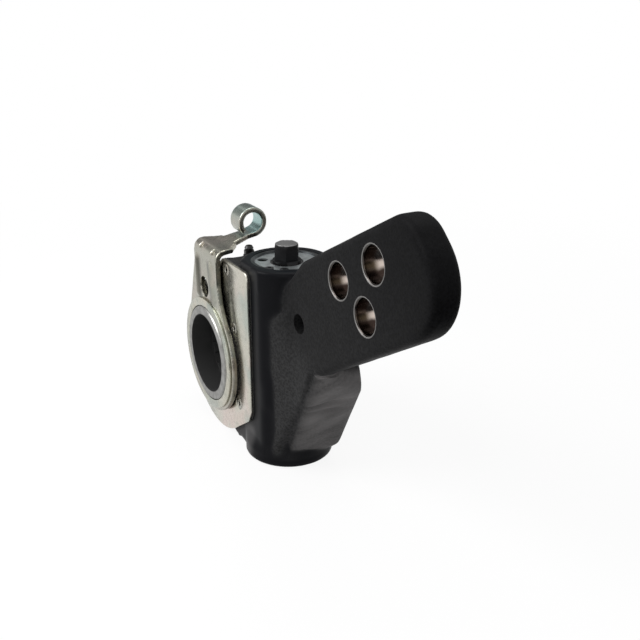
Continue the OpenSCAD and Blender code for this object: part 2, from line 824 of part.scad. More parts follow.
// Stamped control arm: flat base and strap, bend, rising neck and curled eye
module control_arm() {
    mid_r = eye_r + arm_t / 2;
    neck_start = [arm_front + bend_r + level_len, strap_top - arm_t / 2];
    to_eye = [eye_y, eye_z] - neck_start;
    reach = norm(to_eye);
    neck_slope = atan2(to_eye[1], to_eye[0]) - asin(mid_r / reach);
    neck_len = sqrt(reach * reach - mid_r * mid_r);
    color("#b4b3a0")
    difference() {
        union() {
            arm_flat();
            // Bend at the top of the strap
            translate([-strap_w / 2, arm_front + bend_r, strap_top - bend_r])
                rotate([90, 0, 90])
                    rotate_extrude(angle = 92, start = 89)
                        translate([bend_r - arm_t, 0])
                            square([arm_t, strap_w]);
            // Level part behind the bend
            translate([0, 0, strap_top - arm_t])
                linear_extrude(arm_t)
                    polygon([
                        [-strap_w / 2, arm_front + bend_r],
                        [-neck_w / 2, neck_start[0]],
                        [neck_w / 2, neck_start[0]],
                        [strap_w / 2, arm_front + bend_r]
                    ]);
            // Rising neck, with a step on each side
            translate([0, neck_start[0], neck_start[1]])
                rotate([neck_slope, 0, 0])
                    translate([0, 0, -arm_t / 2])
                        linear_extrude(arm_t)
                            polygon([
                                [-neck_w / 2, 0],
                                [-step_w / 2, step_at],
                                [-step_w / 2 + step_in, step_at],
                                [-waist_w / 2, 0.75 * neck_len],
                                [-eye_w / 2, neck_len],
                                [eye_w / 2, neck_len],
                                [waist_w / 2, 0.75 * neck_len],
                                [step_w / 2 - step_in, step_at],
                                [step_w / 2, step_at],
                                [neck_w / 2, 0]
                            ]);
            translate([-neck_w / 2, neck_start[0], neck_start[1]])
                rotate([0, 90, 0])
                    cylinder(r = arm_t / 2, h = neck_w);
            // Curled eye
            translate([-eye_w / 2, eye_y, eye_z])
                rotate([90, 0, 90])
                    rotate_extrude(angle = 302, start = neck_slope - 92)
                        translate([eye_r, 0])
                            square([arm_t, eye_w]);
        }
        rod_y(collar_r, arm_front - past, arm_front + arm_t + past);
        rod_y(strap_hole_r, arm_front - past, arm_front + arm_t + past, [strap_hole_x, strap_hole_z]);
    }
}

// Collar of the control arm, with the notched disc that moves the rack
module control_ring() {
    color("#bdbcac")
    difference() {
        union() {
            rod_y(flange_r, flange_front, arm_front);
            rod_y(collar_r, flange_front, disc_back);
            rod_y(disc_r, disc_front, disc_back);
        }
        rod_y(hub_r + ring_gap, flange_front - past, disc_back + past);
        rotate([0, swing / 2, 0])
            translate([-lug_r - clear, disc_front - past, -disc_r - past])
                cube([2 * (lug_r + clear), disc_t + 2 * past, disc_r + past - (lug_z - lug_r - clear)]);
    }
}

// Worm wheel with its hub and internal splines
module worm_wheel() {
    color("#a9abae")
    difference() {
        union() {
            rod_y(hub_r, hub_chamfer, hub_len);
            rotate([-90, 0, 0])
                cylinder(r1 = hub_r - hub_chamfer, r2 = hub_r, h = hub_chamfer + eps);
            difference() {
                rod_y(wheel_tip_r, wheel_front, wheel_back);
                for (i = [0 : wheel_teeth - 1])
                    rotate([0, i * 360 / wheel_teeth, 0])
                        translate([0, worm_y, 0])
                            rotate([-lead_angle, 0, 0])
                                slab(-wheel_face, 2 * wheel_face)
                                    tooth_gap(wheel_pitch_r, wheel_root_r, wheel_tip_r, wheel_teeth, gear_play);
            }
        }
        rod_y(spline_minor_r, -past, hub_len + past);
        rod_y(mouth_r, -past, mouth_len);
        slab(mouth_len - eps, hub_len)
            intersection() {
                circle(r = spline_major_r);
                for (i = [0 : spline_count - 1])
                    rotate(i * 360 / spline_count)
                        translate([0, -spline_w / 2])
                            square([2 * hub_r, spline_w]);
            }
    }
}

// Worm with its collar, hexagon, clutch cone and tail
module worm_shaft() {
    flank = tan(pressure_angle);
    half = worm_pitch / 4 - gear_play / 2;
    foot = worm_root_r - thread_root;
    thread = [
        [foot, half + (worm_pitch_r - foot) * flank],
        [worm_tip_r, half - worm_add * flank],
        [worm_tip_r, -half + worm_add * flank],
        [foot, -half - (worm_pitch_r - foot) * flank]
    ];
    turns = (thread_len - 2 * thread[0][1] - clear) / worm_pitch;
    steps = round(36 * turns);
    color("#2b2c2e") {
        translate([worm_x, worm_y, 0])
            rotate([0, 0, 180 - 180 * turns])
                translate([0, 0, -worm_pitch * turns / 2])
                    screw_sweep(thread, turns, worm_pitch, steps);
        rod_w(worm_root_r, -thread_len / 2, collar_top);
        rod_w(shaft_r, collar_top - past, tower_top);
        translate([worm_x, worm_y, cone_low])
            cylinder(r1 = worm_root_r - cone_h, r2 = worm_root_r, h = cone_h);
        rod_w(tail_r, tail_low, cone_low + past);
        intersection() {
            translate([worm_x, worm_y, tower_top - past])
                rotate([0, 0, 30])
                    cylinder(r = hex_af / sqrt(3), h = hex_h + past, $fn = 6);
            translate([worm_x, worm_y, tower_top - past])
                cylinder(r1 = hex_af / 2 + hex_h + past, r2 = hex_af / 2 - hex_ease, h = hex_h + past);
        }
    }
}

// Top cap with two spanner holes
module top_cap() {
    color("#b8bcc0")
    difference() {
        rod_w(tower_bore_r - running, cap_low, cap_top);
        rod_w(shaft_r + seal_wall + running, cap_low - past, cap_top + past);
        for (s = [-1, 1])
            translate([worm_x, worm_y, cap_top - spanner_deep])
                rotate([0, 0, 49])
                    translate([s * spanner_reach, 0, 0])
                        cylinder(r = spanner_r, h = spanner_deep + past);
    }
}

// Snap ring over the cap, with its gap and ears towards the lever's front
module snap_ring() {
    gap_half_angle = 9;
    inner_r = snap_r - snap_w;
    color("#77797b")
    translate([worm_x, worm_y, cap_top])
        rotate([0, 0, -45]) {
            rotate([0, 0, gap_half_angle])
                rotate_extrude(angle = 360 - 2 * gap_half_angle)
                    translate([inner_r, 0])
                        square([snap_w, snap_t]);
            for (s = [-1, 1])
                rotate([0, 0, s * (gap_half_angle + 5)])
                    translate([inner_r - 0.3 * ear_r, 0, 0])
                        difference() {
                            cylinder(r = ear_r, h = snap_t);
                            translate([0, 0, -past])
                                cylinder(r = 0.4 * ear_r, h = snap_t + 2 * past);
                        }
        }
}

// Seal round the shaft, in the cap
module shaft_seal() {
    color("#1d1d1e")
    ring_w(shaft_r + running, shaft_r + seal_wall, cap_low, cap_top - seal_sink);
}

// Grease nipple on the flat top of the case
module grease_nipple() {
    color("#3a3a3a")
    translate([nipple_x, nipple_y, case_top])
        difference() {
            union() {
                translate([0, 0, -nipple_deep])
                    cylinder(r = nipple_r, h = nipple_deep + 0.5 * nipple_h);
                cylinder(r = nipple_r + clear, h = 0.4 * nipple_h, $fn = 6);
                cylinder(r = nipple_r * 0.75, h = 0.8 * nipple_h);
                translate([0, 0, 0.7 * nipple_h])
                    cylinder(r1 = nipple_r, r2 = nipple_r * 0.7, h = 0.3 * nipple_h);
            }
            translate([0, 0, -nipple_deep - past])
                cylinder(r = channel_r, h = nipple_deep + nipple_h + 2 * past);
        }
}

// Soft ring that rests on the cover round the collar
module dust_seal() {
    color("#1b1b1b")
    ring_y(collar_r + clear, flange_r, arm_front + arm_t + clear, plate_front);
}

// Bearing ring of the hub, cut off below for the rack
module front_bearing_ring() {
    color("#9c8a5e")
    difference() {
        ring_y(hub_r + running, chamber_r - running, disc_back + clear, wheel_front - clear);
        translate([-2 * chamber_r, 0, -2 * chamber_r])
            cube([4 * chamber_r, worm_y, 2 * chamber_r + rack_top + 2 * tunnel_gap]);
        rod_w(tower_bore_r, -tower_low, tower_top);
    }
}

// Seal round the rear of the hub
module rear_hub_seal() {
    color("#1b1b1b")
    ring_y(hub_r + running, seal_recess_r - running, case_back - seal_recess_t, case_back);
}

// Strong spring between the cap and its seat
module main_spring() {
    color("#7d8084")
    coil(stack_r - spring_wire_r - 0.6, spring_wire_r, spring_low, cap_low, spring_turns, round(24 * spring_turns), 8);
}

// Seat under the main spring
module spring_seat() {
    color("#85888c")
    ring_w(shaft_r + clear, stack_r, seat_low, spring_low);
}

// Race of the thrust bearing, under the seat
module thrust_race_upper() {
    color("#b0b3b6")
    ring_w(shaft_r + clear, stack_r - race_in, race_up_low, seat_low);
}

// Balls of the thrust bearing
module thrust_balls() {
    color("#c6c8ca")
    for (i = [0 : ball_count - 1])
        translate([worm_x, worm_y, race_up_low - ball_r])
            rotate([0, 0, i * 360 / ball_count])
                translate([(shaft_r + stack_r) / 2, 0, 0])
                    sphere(r = ball_r);
}

// Race of the thrust bearing, on the worm's collar
module thrust_race_lower() {
    color("#b0b3b6")
    ring_w(shaft_r + running, stack_r - race_in, collar_top, race_low_top);
}

// Clutch wheel with a conical seat for the worm and a hub for the clutch spring
module clutch_wheel() {
    color("#8f9296")
    difference() {
        union() {
            rod_w(stack_r - clutch_in, clutch_low, cone_top - clear);
            rod_w(clutch_hub_r, hub_split + groove_gap, cone_low);
        }
        translate([worm_x, worm_y, cone_low])
            cylinder(r1 = worm_root_r - cone_h + running, r2 = worm_root_r + running, h = cone_h);
        rod_w(tail_r + running, -tower_low, 0);
    }
}

// Wrap spring round the two clutch hubs
module clutch_spring() {
    color("#6f7276")
    coil(clutch_hub_r + clear + clutch_wire_r, clutch_wire_r, pinion_top + 0.2, clutch_low - 0.2, 2.5, 60, 6);
}

// Pinion that the rack turns, with a hub for the clutch spring
module drive_pinion() {
    pinion_tip_r = pinion_pitch_r + rack_add;
    pinion_root_r = pinion_pitch_r - rack_add - tip_gap;
    color("#94979a")
    difference() {
        union() {
            translate([worm_x, worm_y, pinion_low])
                linear_extrude(pinion_top - pinion_low)
                    difference() {
                        circle(r = pinion_tip_r);
                        for (i = [0 : pinion_teeth - 1])
                            rotate(i * 360 / pinion_teeth - 90)
                                tooth_gap(pinion_pitch_r, pinion_root_r, pinion_tip_r, pinion_teeth, rack_play);
                    }
            rod_w(clutch_hub_r, pinion_top - past, hub_split - groove_gap);
        }
        rod_w(tail_r + running, -tower_low, 0);
    }
}

// Rack with its teeth to the pinion and its lug to the control disc
module rack() {
    flank = tan(pressure_angle);
    half = rack_pitch / 4 - rack_play / 2;
    tooth_count = floor((worm_x + rack_pitch / 2 - rack_mesh_left) / rack_pitch);
    color("#8a8d90") {
        translate([rack_left, rack_back_y, rack_low])
            cube([rack_right - rack_left, rack_root_y - rack_back_y, rack_h]);
        translate([0, 0, rack_low])
            linear_extrude(rack_h)
                for (i = [0 : tooth_count])
                    translate([worm_x - i * rack_pitch, rack_pitch_y])
                        polygon([
                            [-half - (rack_add + bar_back) * flank, -rack_add - bar_back - eps],
                            [-half + rack_add * flank, rack_add],
                            [half - rack_add * flank, rack_add],
                            [half + (rack_add + bar_back) * flank, -rack_add - bar_back - eps]
                        ]);
        rod_y(lug_r, disc_front, rack_back_y + 1, [lug_x, -lug_z]);
    }
}

// Washer under the pinion
module bottom_washer() {
    color("#a98f55")
    ring_w(tail_r + clear, stack_r - clutch_in, floor_z, washer_top);
}

housing();
lever_bushings();
cover_plate();
cover_gasket();
cover_screws();
control_arm();
control_ring();
worm_wheel();
worm_shaft();
top_cap();
snap_ring();
shaft_seal();
grease_nipple();
dust_seal();
front_bearing_ring();
rear_hub_seal();
main_spring();
spring_seat();
thrust_race_upper();
thrust_balls();
thrust_race_lower();
clutch_wheel();
clutch_spring();
drive_pinion();
rack();
bottom_washer();
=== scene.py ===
import bpy
import bmesh
import json
import math
from mathutils import Matrix, Vector, noise


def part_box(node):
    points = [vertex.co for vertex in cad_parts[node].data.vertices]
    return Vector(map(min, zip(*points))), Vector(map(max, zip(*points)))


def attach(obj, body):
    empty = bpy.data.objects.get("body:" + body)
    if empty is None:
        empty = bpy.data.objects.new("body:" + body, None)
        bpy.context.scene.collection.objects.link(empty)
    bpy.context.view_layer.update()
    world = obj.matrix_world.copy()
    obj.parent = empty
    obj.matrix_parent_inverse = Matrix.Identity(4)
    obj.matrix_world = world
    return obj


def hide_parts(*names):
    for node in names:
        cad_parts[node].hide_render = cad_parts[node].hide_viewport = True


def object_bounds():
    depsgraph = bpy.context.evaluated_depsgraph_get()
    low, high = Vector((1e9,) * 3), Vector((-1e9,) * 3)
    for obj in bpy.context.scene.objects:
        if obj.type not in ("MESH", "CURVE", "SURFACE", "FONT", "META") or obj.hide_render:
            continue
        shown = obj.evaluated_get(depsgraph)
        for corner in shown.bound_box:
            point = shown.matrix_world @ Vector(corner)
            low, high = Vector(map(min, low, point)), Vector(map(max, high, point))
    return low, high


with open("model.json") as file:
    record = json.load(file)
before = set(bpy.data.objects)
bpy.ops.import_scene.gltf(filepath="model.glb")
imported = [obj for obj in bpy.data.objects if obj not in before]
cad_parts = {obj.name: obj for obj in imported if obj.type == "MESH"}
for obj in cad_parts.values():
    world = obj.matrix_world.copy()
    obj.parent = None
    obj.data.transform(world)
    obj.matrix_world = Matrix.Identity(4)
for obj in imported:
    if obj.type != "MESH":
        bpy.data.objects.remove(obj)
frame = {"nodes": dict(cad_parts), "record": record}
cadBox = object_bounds()
nodes = frame["nodes"]
record = frame["record"]
mounts = {mount["name"]: mount for mount in record["mounts"]}
joints = {joint["name"]: joint for joint in record["behaviour"]["joints"]}
slotOf = {part["node"]: part["material_slot"] for part in record["subparts"]}
bodyOf = {node: body for body, members in record["behaviour"]["bodies"].items() for node in members}
print("frame loaded:", len(nodes), "nodes")

weld = 1e-6  # vertices closer than this are one
turnedSteps = 96  # faces round a turned form
rodSides = 64  # faces round a drilled hole


# a merged copy of a CAD node's mesh, to start a finer piece from
def copyNode(name):
    bm = bmesh.new()
    bm.from_mesh(nodes[name].data)
    bmesh.ops.remove_doubles(bm, verts=bm.verts, dist=weld)
    return bm


def makeObject(bm, name):
    mesh = bpy.data.meshes.new(name)
    bm.to_mesh(mesh)
    bm.free()
    obj = bpy.data.objects.new(name, mesh)
    bpy.context.scene.collection.objects.link(obj)
    return obj


def shadeSmooth(obj, angle):
    obj.data.shade_smooth()
    obj.data.set_sharp_from_angle(angle=math.radians(angle))


def standFor(obj, name):
    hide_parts(name)
    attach(obj, bodyOf[name])


# a solid turned from pairs of radius and place along the axis
def addTurned(bm, profile, centre, axis):
    foot, along = Vector(centre), Vector(axis)
    verts = [bm.verts.new(foot + Vector((radius, 0.0, 0.0)) + along * place) for radius, place in profile]
    edges = [bm.edges.new(pair) for pair in zip(verts, verts[1:])]
    bmesh.ops.spin(bm, geom=verts + edges, cent=centre, axis=axis, angle=2 * math.pi, steps=turnedSteps,
                   use_merge=True)


def addRod(bm, radius, start, end):
    along = Vector(end) - Vector(start)
    turn = along.to_track_quat("Z", "Y").to_matrix().to_4x4()
    place = Matrix.Translation((Vector(start) + Vector(end)) / 2) @ turn
    bmesh.ops.create_cone(bm, cap_ends=True, segments=rodSides, radius1=radius, radius2=radius,
                          depth=along.length, matrix=place)


def addBlock(bm, low, high):
    made = bmesh.ops.create_cube(bm, size=1.0)
    bmesh.ops.scale(bm, verts=made["verts"], vec=high - low)
    bmesh.ops.translate(bm, verts=made["verts"], vec=(low + high) / 2)


def middle(box):
    return (box[0] + box[1]) / 2


def halfWidth(box):
    return (box[1].x - box[0].x) / 2


# from 0 at the start to 1 at the end, with soft ends
def fade(value, start, end):
    share = max(0.0, min(1.0, (value - start) / (end - start)))
    return share * share * (3.0 - 2.0 * share)


# 1 in the middle, falling off to both sides
def bell(away, width):
    return math.exp(-(away / width) ** 2)


# distance past a leaning line in the plane of X and Z
def pastLeaning(co, foot, lean):
    return co.x - foot[0] - (co.z - foot[1]) * lean


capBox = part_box("top_cap")
wormAxis = Vector((middle(capBox).x, middle(capBox).y, 0.0))
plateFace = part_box("cover_gasket")[1].y
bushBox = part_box("lever_bushings")
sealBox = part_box("rear_hub_seal")
pinHoles = ("pin_hole_inner", "pin_hole_lower", "pin_hole_outer")

# the forging: a soft blank from the housing's solid, then the bores that are machined into it
forging = {
    "voxel": 0.0007, "rounds": 6, "soft": 0.5, "smooth": 42,
    "plugMargin": 0.0008, "past": 0.002, "running": 0.00005, "play": 0.0002,
    "hubR": 0.02405, "tailR": 0.00505, "chamberBack": 0.0353, "caseTop": 0.0528,
    "bushWall": 0.001, "screwR": 0.00205, "nippleR": 0.00225,
    "rackH": 0.008, "tailGap": 0.0003, "keepFront": 0.0013, "wave": 0.00010, "waveSize": 0.010,
    "leverFoot": (0.1005, 0.0305), "leverLean": 0.589,
}
# places that are blended further: the lever's root, the flank under the plate and the buttress's top
softSpots = [
    {"box": ((0.040, 0.074), (-0.001, 0.016), (-0.036, 0.047)), "rounds": 24},
    {"box": ((0.005, 0.036), (-0.001, 0.020), (-0.041, -0.022)), "rounds": 30},
    {"box": ((0.070, 0.094), (0.012, 0.045), (0.006, 0.032)), "rounds": 22},
]
# the buttress's ridge with a valley before it, and the folds and creases on its side
buttress = {
    "foot": (0.0600, -0.0275), "lean": 0.515, "low": -0.033, "deep": 0.030, "rear": 0.039, "noseX": 0.0870,
    "valley": 0.0011, "valleyWidth": 0.0015, "crest": 0.0006, "crestAt": 0.0032, "crestWidth": 0.0016,
    "fold": 0.00065, "foldSize": 0.0058, "rise": (0.26, 0.48), "stretch": 0.2,
    "patch": 0.00036, "patchSize": 0.0021, "patchFrom": 0.003, "patchTo": 0.010,
    "fadeIn": 0.004, "fadeTop": 0.006, "fadeLow": 0.008, "fadeRear": 0.009,
    "creases": (
        {"y": 0.0192, "z": -0.0017, "rise": 0.24, "depth": 0.0014, "width": 0.0013},
        {"y": 0.0181, "z": -0.0054, "rise": 0.165, "depth": 0.0009, "width": 0.0011},
    ),
}
# the straight lower edge of the plate and the case
corner = {
    "outline": ((0.02335, -0.03259), (0.0390, -0.0220), (0.0300, -0.0195)),
    "depth": 0.0045, "plateRight": 0.0435, "below": 0.0015, "margin": 0.0001,
}
# the round foot that the machined front runs out into
roundFoot = {"radius": 0.02125, "chamfer": 0.0012, "start": -0.0285, "end": -0.0345, "flat": 0.0007}
# the buttress's ridge and the lever's lower edge, each as a foot and a lean
ridgeLine = (buttress["foot"], buttress["lean"])
leverLine = (forging["leverFoot"], 1.0 / forging["leverLean"])


def wormBore(bm, grow, past):
    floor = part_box("bottom_washer")[0].z
    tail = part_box("worm_shaft")[0].z - forging["tailGap"]
    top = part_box("snap_ring")[1].z + forging["play"] + past
    boreR = halfWidth(capBox) + forging["running"] + grow
    tailR = forging["tailR"] + grow
    profile = [(0.0, tail), (tailR, tail), (tailR, floor), (boreR, floor), (boreR, top), (0.0, top)]
    addTurned(bm, profile, wormAxis, (0.0, 0.0, 1.0))


def gearChamber(bm, grow, past):
    front, back = plateFace - past, sealBox[1].y + past
    chamberR = halfWidth(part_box("front_bearing_ring")) + forging["running"] + grow
    hubR, sealR = forging["hubR"] + grow, halfWidth(sealBox) + forging["running"] + grow
    chamberBack, sealFront = forging["chamberBack"], sealBox[0].y
    profile = [(0.0, front), (chamberR, front), (chamberR, chamberBack), (hubR, chamberBack)]
    profile += [(hubR, sealFront), (sealR, sealFront), (sealR, back), (0.0, back)]
    addTurned(bm, profile, (0.0, 0.0, 0.0), (0.0, 1.0, 0.0))


# room for the rack and its whole stroke
def rackTunnel(bm, grow, past):
    low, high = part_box("rack")
    stroke = joints["rack_slide"]["range_m"][1]
    room = Vector((1.0, 1.0, 1.0)) * (forging["play"] + grow)
    high = Vector((high.x + stroke, high.y, low.z + forging["rackH"]))
    low.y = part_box("front_bearing_ring")[0].y
    addBlock(bm, low - room, high + room)


# centre in X and Z and radius of a mount's hole, all in metres
def holeOf(name):
    at = mounts[name]["pos_m"]
    return at[0], at[2], mounts[name]["dims"]["r_mm"] / 1000


def leverBores(bm, grow, past):
    for name in pinHoles + ("lever_hole",):
        x, z, radius = holeOf(name)
        wall = forging["bushWall"] if name in pinHoles else 0.0
        addRod(bm, radius + wall + grow, (x, bushBox[0].y - past, z), (x, bushBox[1].y + past, z))


# boxes of the loose solids of a node
def islandBoxes(name):
    bm = copyNode(name)
    left = set(bm.verts)
    boxes = []
    while left:
        reached, todo = set(), [left.pop()]
        while todo:
            vert = todo.pop()
            reached.add(vert)
            others = [edge.other_vert(vert) for edge in vert.link_edges]
            todo += [other for other in others if other not in reached]
        left -= reached
        ends = [[pick(vert.co[i] for vert in reached) for i in range(3)] for pick in (min, max)]
        boxes.append([Vector(end) for end in ends])
    bm.free()
    return boxes


def smallHoles(bm, grow, past):
    for box in islandBoxes("cover_screws"):
        at = middle(box)
        end = (at.x, box[1].y + forging["play"], at.z)
        addRod(bm, forging["screwR"] + grow, (at.x, plateFace - past, at.z), end)
    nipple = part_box("grease_nipple")
    at = middle(nipple)
    end = (at.x, at.y, forging["caseTop"] + past)
    addRod(bm, forging["nippleR"] + grow, (at.x, at.y, nipple[0].z), end)


def addTool(bm, bore, grow, past):
    tool = bmesh.new()
    bore(tool, grow, past)
    bmesh.ops.remove_doubles(tool, verts=tool.verts, dist=weld)
    bmesh.ops.recalc_face_normals(tool, faces=tool.faces)
    mesh = bpy.data.meshes.new(bore.__name__)
    tool.to_mesh(mesh)
    tool.free()
    bm.from_mesh(mesh)
    bpy.data.meshes.remove(mesh)


def applied(obj):
    graph = bpy.context.evaluated_depsgraph_get()
    mesh = bpy.data.meshes.new_from_object(obj.evaluated_get(graph))
    obj.modifiers.clear()
    obj.data = mesh


# the same form in small even faces, which can be smoothed and pushed
def revoxeled(obj, voxel):
    blank = obj.modifiers.new("blank", "REMESH")
    blank.mode = "VOXEL"
    blank.voxel_size = voxel
    applied(obj)
    bm = bmesh.new()
    bm.from_mesh(obj.data)
    return bm


def soften(bm, verts, rounds):
    for i in range(rounds):
        bmesh.ops.smooth_vert(bm, verts=verts, factor=forging["soft"],
                              use_axis_x=True, use_axis_y=True, use_axis_z=True)


def isInside(co, box):
    return all(low < value < high for value, (low, high) in zip(co, box))


def lowerEdge(x):
    (x0, z0), (x1, z1) = corner["outline"][:2]
    return z0 + (x - x0) * (z1 - z0) / (x1 - x0)


# clear of the cover plate, which needs the machined front flat
def offPlate(co):
    below = co.x > corner["outline"][0][0] and co.z < lowerEdge(co.x) - corner["below"]
    return below or co.x > corner["plateRight"] or co.y > plateFace + forging["keepFront"]


def addCorner(bm, front, back):
    verts = [bm.verts.new((x, front, z)) for x, z in corner["outline"]]
    made = bmesh.ops.extrude_face_region(bm, geom=[bm.faces.new(verts)])
    moved = [item for item in made["geom"] if isinstance(item, bmesh.types.BMVert)]
    bmesh.ops.translate(bm, verts=moved, vec=(0.0, back - front, 0.0))
    bmesh.ops.recalc_face_normals(bm, faces=bm.faces)


# hammered unevenness, and the buttress's valley, crest, folds and creases
def forgedPush(co):
    form = buttress
    push = forging["wave"] * noise.noise(co / forging["waveSize"])
    ridge = pastLeaning(co, *ridgeLine)
    lever = pastLeaning(co, *leverLine)
    if lever < 0.0 or co.z < form["low"] or co.x > form["noseX"]:
        return push
    top = min(1.0, lever / form["fadeTop"]) * fade(co.z, form["low"], form["low"] + form["fadeLow"])
    if co.y < form["deep"]:
        push -= form["valley"] * bell(ridge, form["valleyWidth"]) * top
        push += form["crest"] * bell(ridge - form["crestAt"], form["crestWidth"]) * top
    if ridge > 0.0:
        rear = fade(co.y, form["rear"], form["rear"] - form["fadeRear"])
        share = min(1.0, ridge / form["fadeIn"]) * top * rear
        across = co.z - form["rise"][0] * co.x - form["rise"][1] * co.y
        along = Vector((form["stretch"] * co.x, form["stretch"] * co.y, across)) / form["foldSize"]
        push += form["fold"] * noise.noise(along) * share
        for crease in form["creases"]:
            off = co.z - crease["z"] - crease["rise"] * (co.y - crease["y"])
            push -= crease["depth"] * bell(off, crease["width"]) * share
        upper = fade(co.z, form["patchFrom"], form["patchTo"])
        push += form["patch"] * noise.noise(co / form["patchSize"]) * upper * rear
    return push


def sculptForging(bm):
    bm.normal_update()
    low, high = cadBox
    for vert in bm.verts:
        co = vert.co
        roundness = fade(co.z, roundFoot["start"], roundFoot["end"])
        if roundness > 0.0 and co.y < plateFace + roundFoot["flat"]:
            out = Vector((co.x - wormAxis.x, co.y - wormAxis.y, 0.0))
            rim = roundFoot["radius"] - max(0.0, roundFoot["chamfer"] - (co.z - low[2]))
            vert.co = co + out.normalized() * max(0.0, rim - out.length) * roundness
        elif co.y > plateFace + forging["keepFront"]:
            vert.co = co + vert.normal * forgedPush(co)
        vert.co = Vector(max(least, min(most, value)) for least, most, value in zip(low, high, vert.co))


def addCut(body, bore):
    bm = bmesh.new()
    addTool(bm, bore, 0.0, forging["past"])
    tool = makeObject(bm, bore.__name__)
    cut = body.modifiers.new(bore.__name__, "BOOLEAN")
    cut.solver = "MANIFOLD"
    cut.object = tool
    return tool


def makeForging():
    bores = (wormBore, gearChamber, rackTunnel, leverBores, smallHoles)
    bm = copyNode("housing")
    addCorner(bm, plateFace, plateFace + corner["depth"])
    for bore in bores:
        addTool(bm, bore, forging["plugMargin"], 0.0)
    body = makeObject(bm, "forgedBody")
    bm = revoxeled(body, forging["voxel"])
    rough = [vert for vert in bm.verts if offPlate(vert.co)]
    soften(bm, rough, forging["rounds"])
    for spot in softSpots:
        soften(bm, [vert for vert in rough if isInside(vert.co, spot["box"])], spot["rounds"])
    sculptForging(bm)
    bm.to_mesh(body.data)
    bm.free()
    tools = [addCut(body, bore) for bore in bores]
    applied(body)
    for tool in tools:
        bpy.data.objects.remove(tool)
    shadeSmooth(body, forging["smooth"])
    standFor(body, "housing")
    return body


forgedBody = makeForging()
print("forging made:", len(forgedBody.data.polygons), "faces")

# stamped, turned and cut pieces with eased edges: width of the easing, and the height it starts at
eased = {
    "cover_plate": (0.00030, -1.0), "control_ring": (0.00030, -1.0), "lever_bushings": (0.00012, -1.0),
    "cover_screws": (0.00015, -1.0), "worm_shaft": (0.00055, 0.0575),
}
easing = {"flat": 0.4, "corner": 28, "segments": 2, "smooth": 32}


# the plate with its straight lower edge
def fillPlate():
    bm = copyNode("cover_plate")
    start, end = corner["outline"][:2]
    for vert in bm.verts:
        between = start[0] < vert.co.x < end[0] - corner["margin"]
        if between and vert.co.z < end[1] + corner["margin"]:
            vert.co.z = min(vert.co.z, lowerEdge(vert.co.x))
    return bm


def easeEdges(name, width, start):
    bm = fillPlate() if name == "cover_plate" else copyNode(name)
    bmesh.ops.dissolve_limit(bm, angle_limit=math.radians(easing["flat"]), verts=bm.verts, edges=bm.edges)
    bend = math.radians(easing["corner"])
    edges = [edge for edge in bm.edges if edge.is_manifold and edge.calc_face_angle() > bend]
    edges = [edge for edge in edges if min(vert.co.z for vert in edge.verts) > start]
    bmesh.ops.bevel(bm, geom=edges, offset=width, offset_type="OFFSET", segments=easing["segments"],
                    profile=0.5, affect="EDGES", clamp_overlap=False, material=-1)
    piece = makeObject(bm, name + "Eased")
    shadeSmooth(piece, easing["smooth"])
    standFor(piece, name)
    return piece


# the stamped arm: soft edges of bent sheet, and two ribs along the strap, each from a foot with a lean
stamping = {
    "voxel": 0.0004, "rounds": 4, "smooth": 50, "face": 0.0016, "skin": 0.00025, "side": 0.0128,
    "low": 0.0260, "high": 0.0505, "run": 0.004, "height": 0.0011, "width": 0.0017,
    "ribs": (((-0.0100, 0.0490), 0.015), ((0.0072, 0.0490), -0.13)),
}


def raiseRibs(bm):
    form = stamping
    for vert in bm.verts:
        co = vert.co
        upper = fade(co.z, form["low"], form["low"] + form["run"])
        share = upper * fade(co.z, form["high"], form["high"] - form["run"])
        onFace = co.y <= form["face"] + form["skin"] and abs(co.x) <= form["side"]
        if onFace and share > 0.0:
            stand = max(bell(pastLeaning(co, *line), form["width"]) for line in form["ribs"])
            co.y += (form["face"] - form["height"] * stand - co.y) * share


def makeArm():
    arm = makeObject(copyNode("control_arm"), "control_armSoft")
    bm = revoxeled(arm, stamping["voxel"])
    soften(bm, bm.verts, stamping["rounds"])
    raiseRibs(bm)
    bm.to_mesh(arm.data)
    bm.free()
    shadeSmooth(arm, stamping["smooth"])
    standFor(arm, "control_arm")
    return arm


# height within each bush's own bore, for the band that the pin has polished, which carries a painted
# highlight, and for the painted shade above and below it
def markBores(piece):
    height = piece.data.attributes.new("boreHeight", "FLOAT", "POINT")
    holes = [holeOf(name) for name in pinHoles]
    for vert in piece.data.vertices:
        co = vert.co
        nearest = min(holes, key=lambda hole: math.hypot(co.x - hole[0], co.z - hole[1]))
        height.data[vert.index].value = (co.z - nearest[1]) / nearest[2]


easedPieces = {name: easeEdges(name, width, start) for name, (width, start) in eased.items()}
easedPieces["control_arm"] = makeArm()
markBores(easedPieces["lever_bushings"])
print("edges eased on", len(easedPieces), "pieces")

# two short beads pressed into the bend of the strap
bead = {
    "places": (-0.0064, 0.0082), "long": 0.0036, "wide": 0.00085, "high": 0.0009, "turn": 45,
    "bendR": 0.005, "bendTop": 0.0564, "sink": 0.00045, "sides": 32, "rings": 20,
}


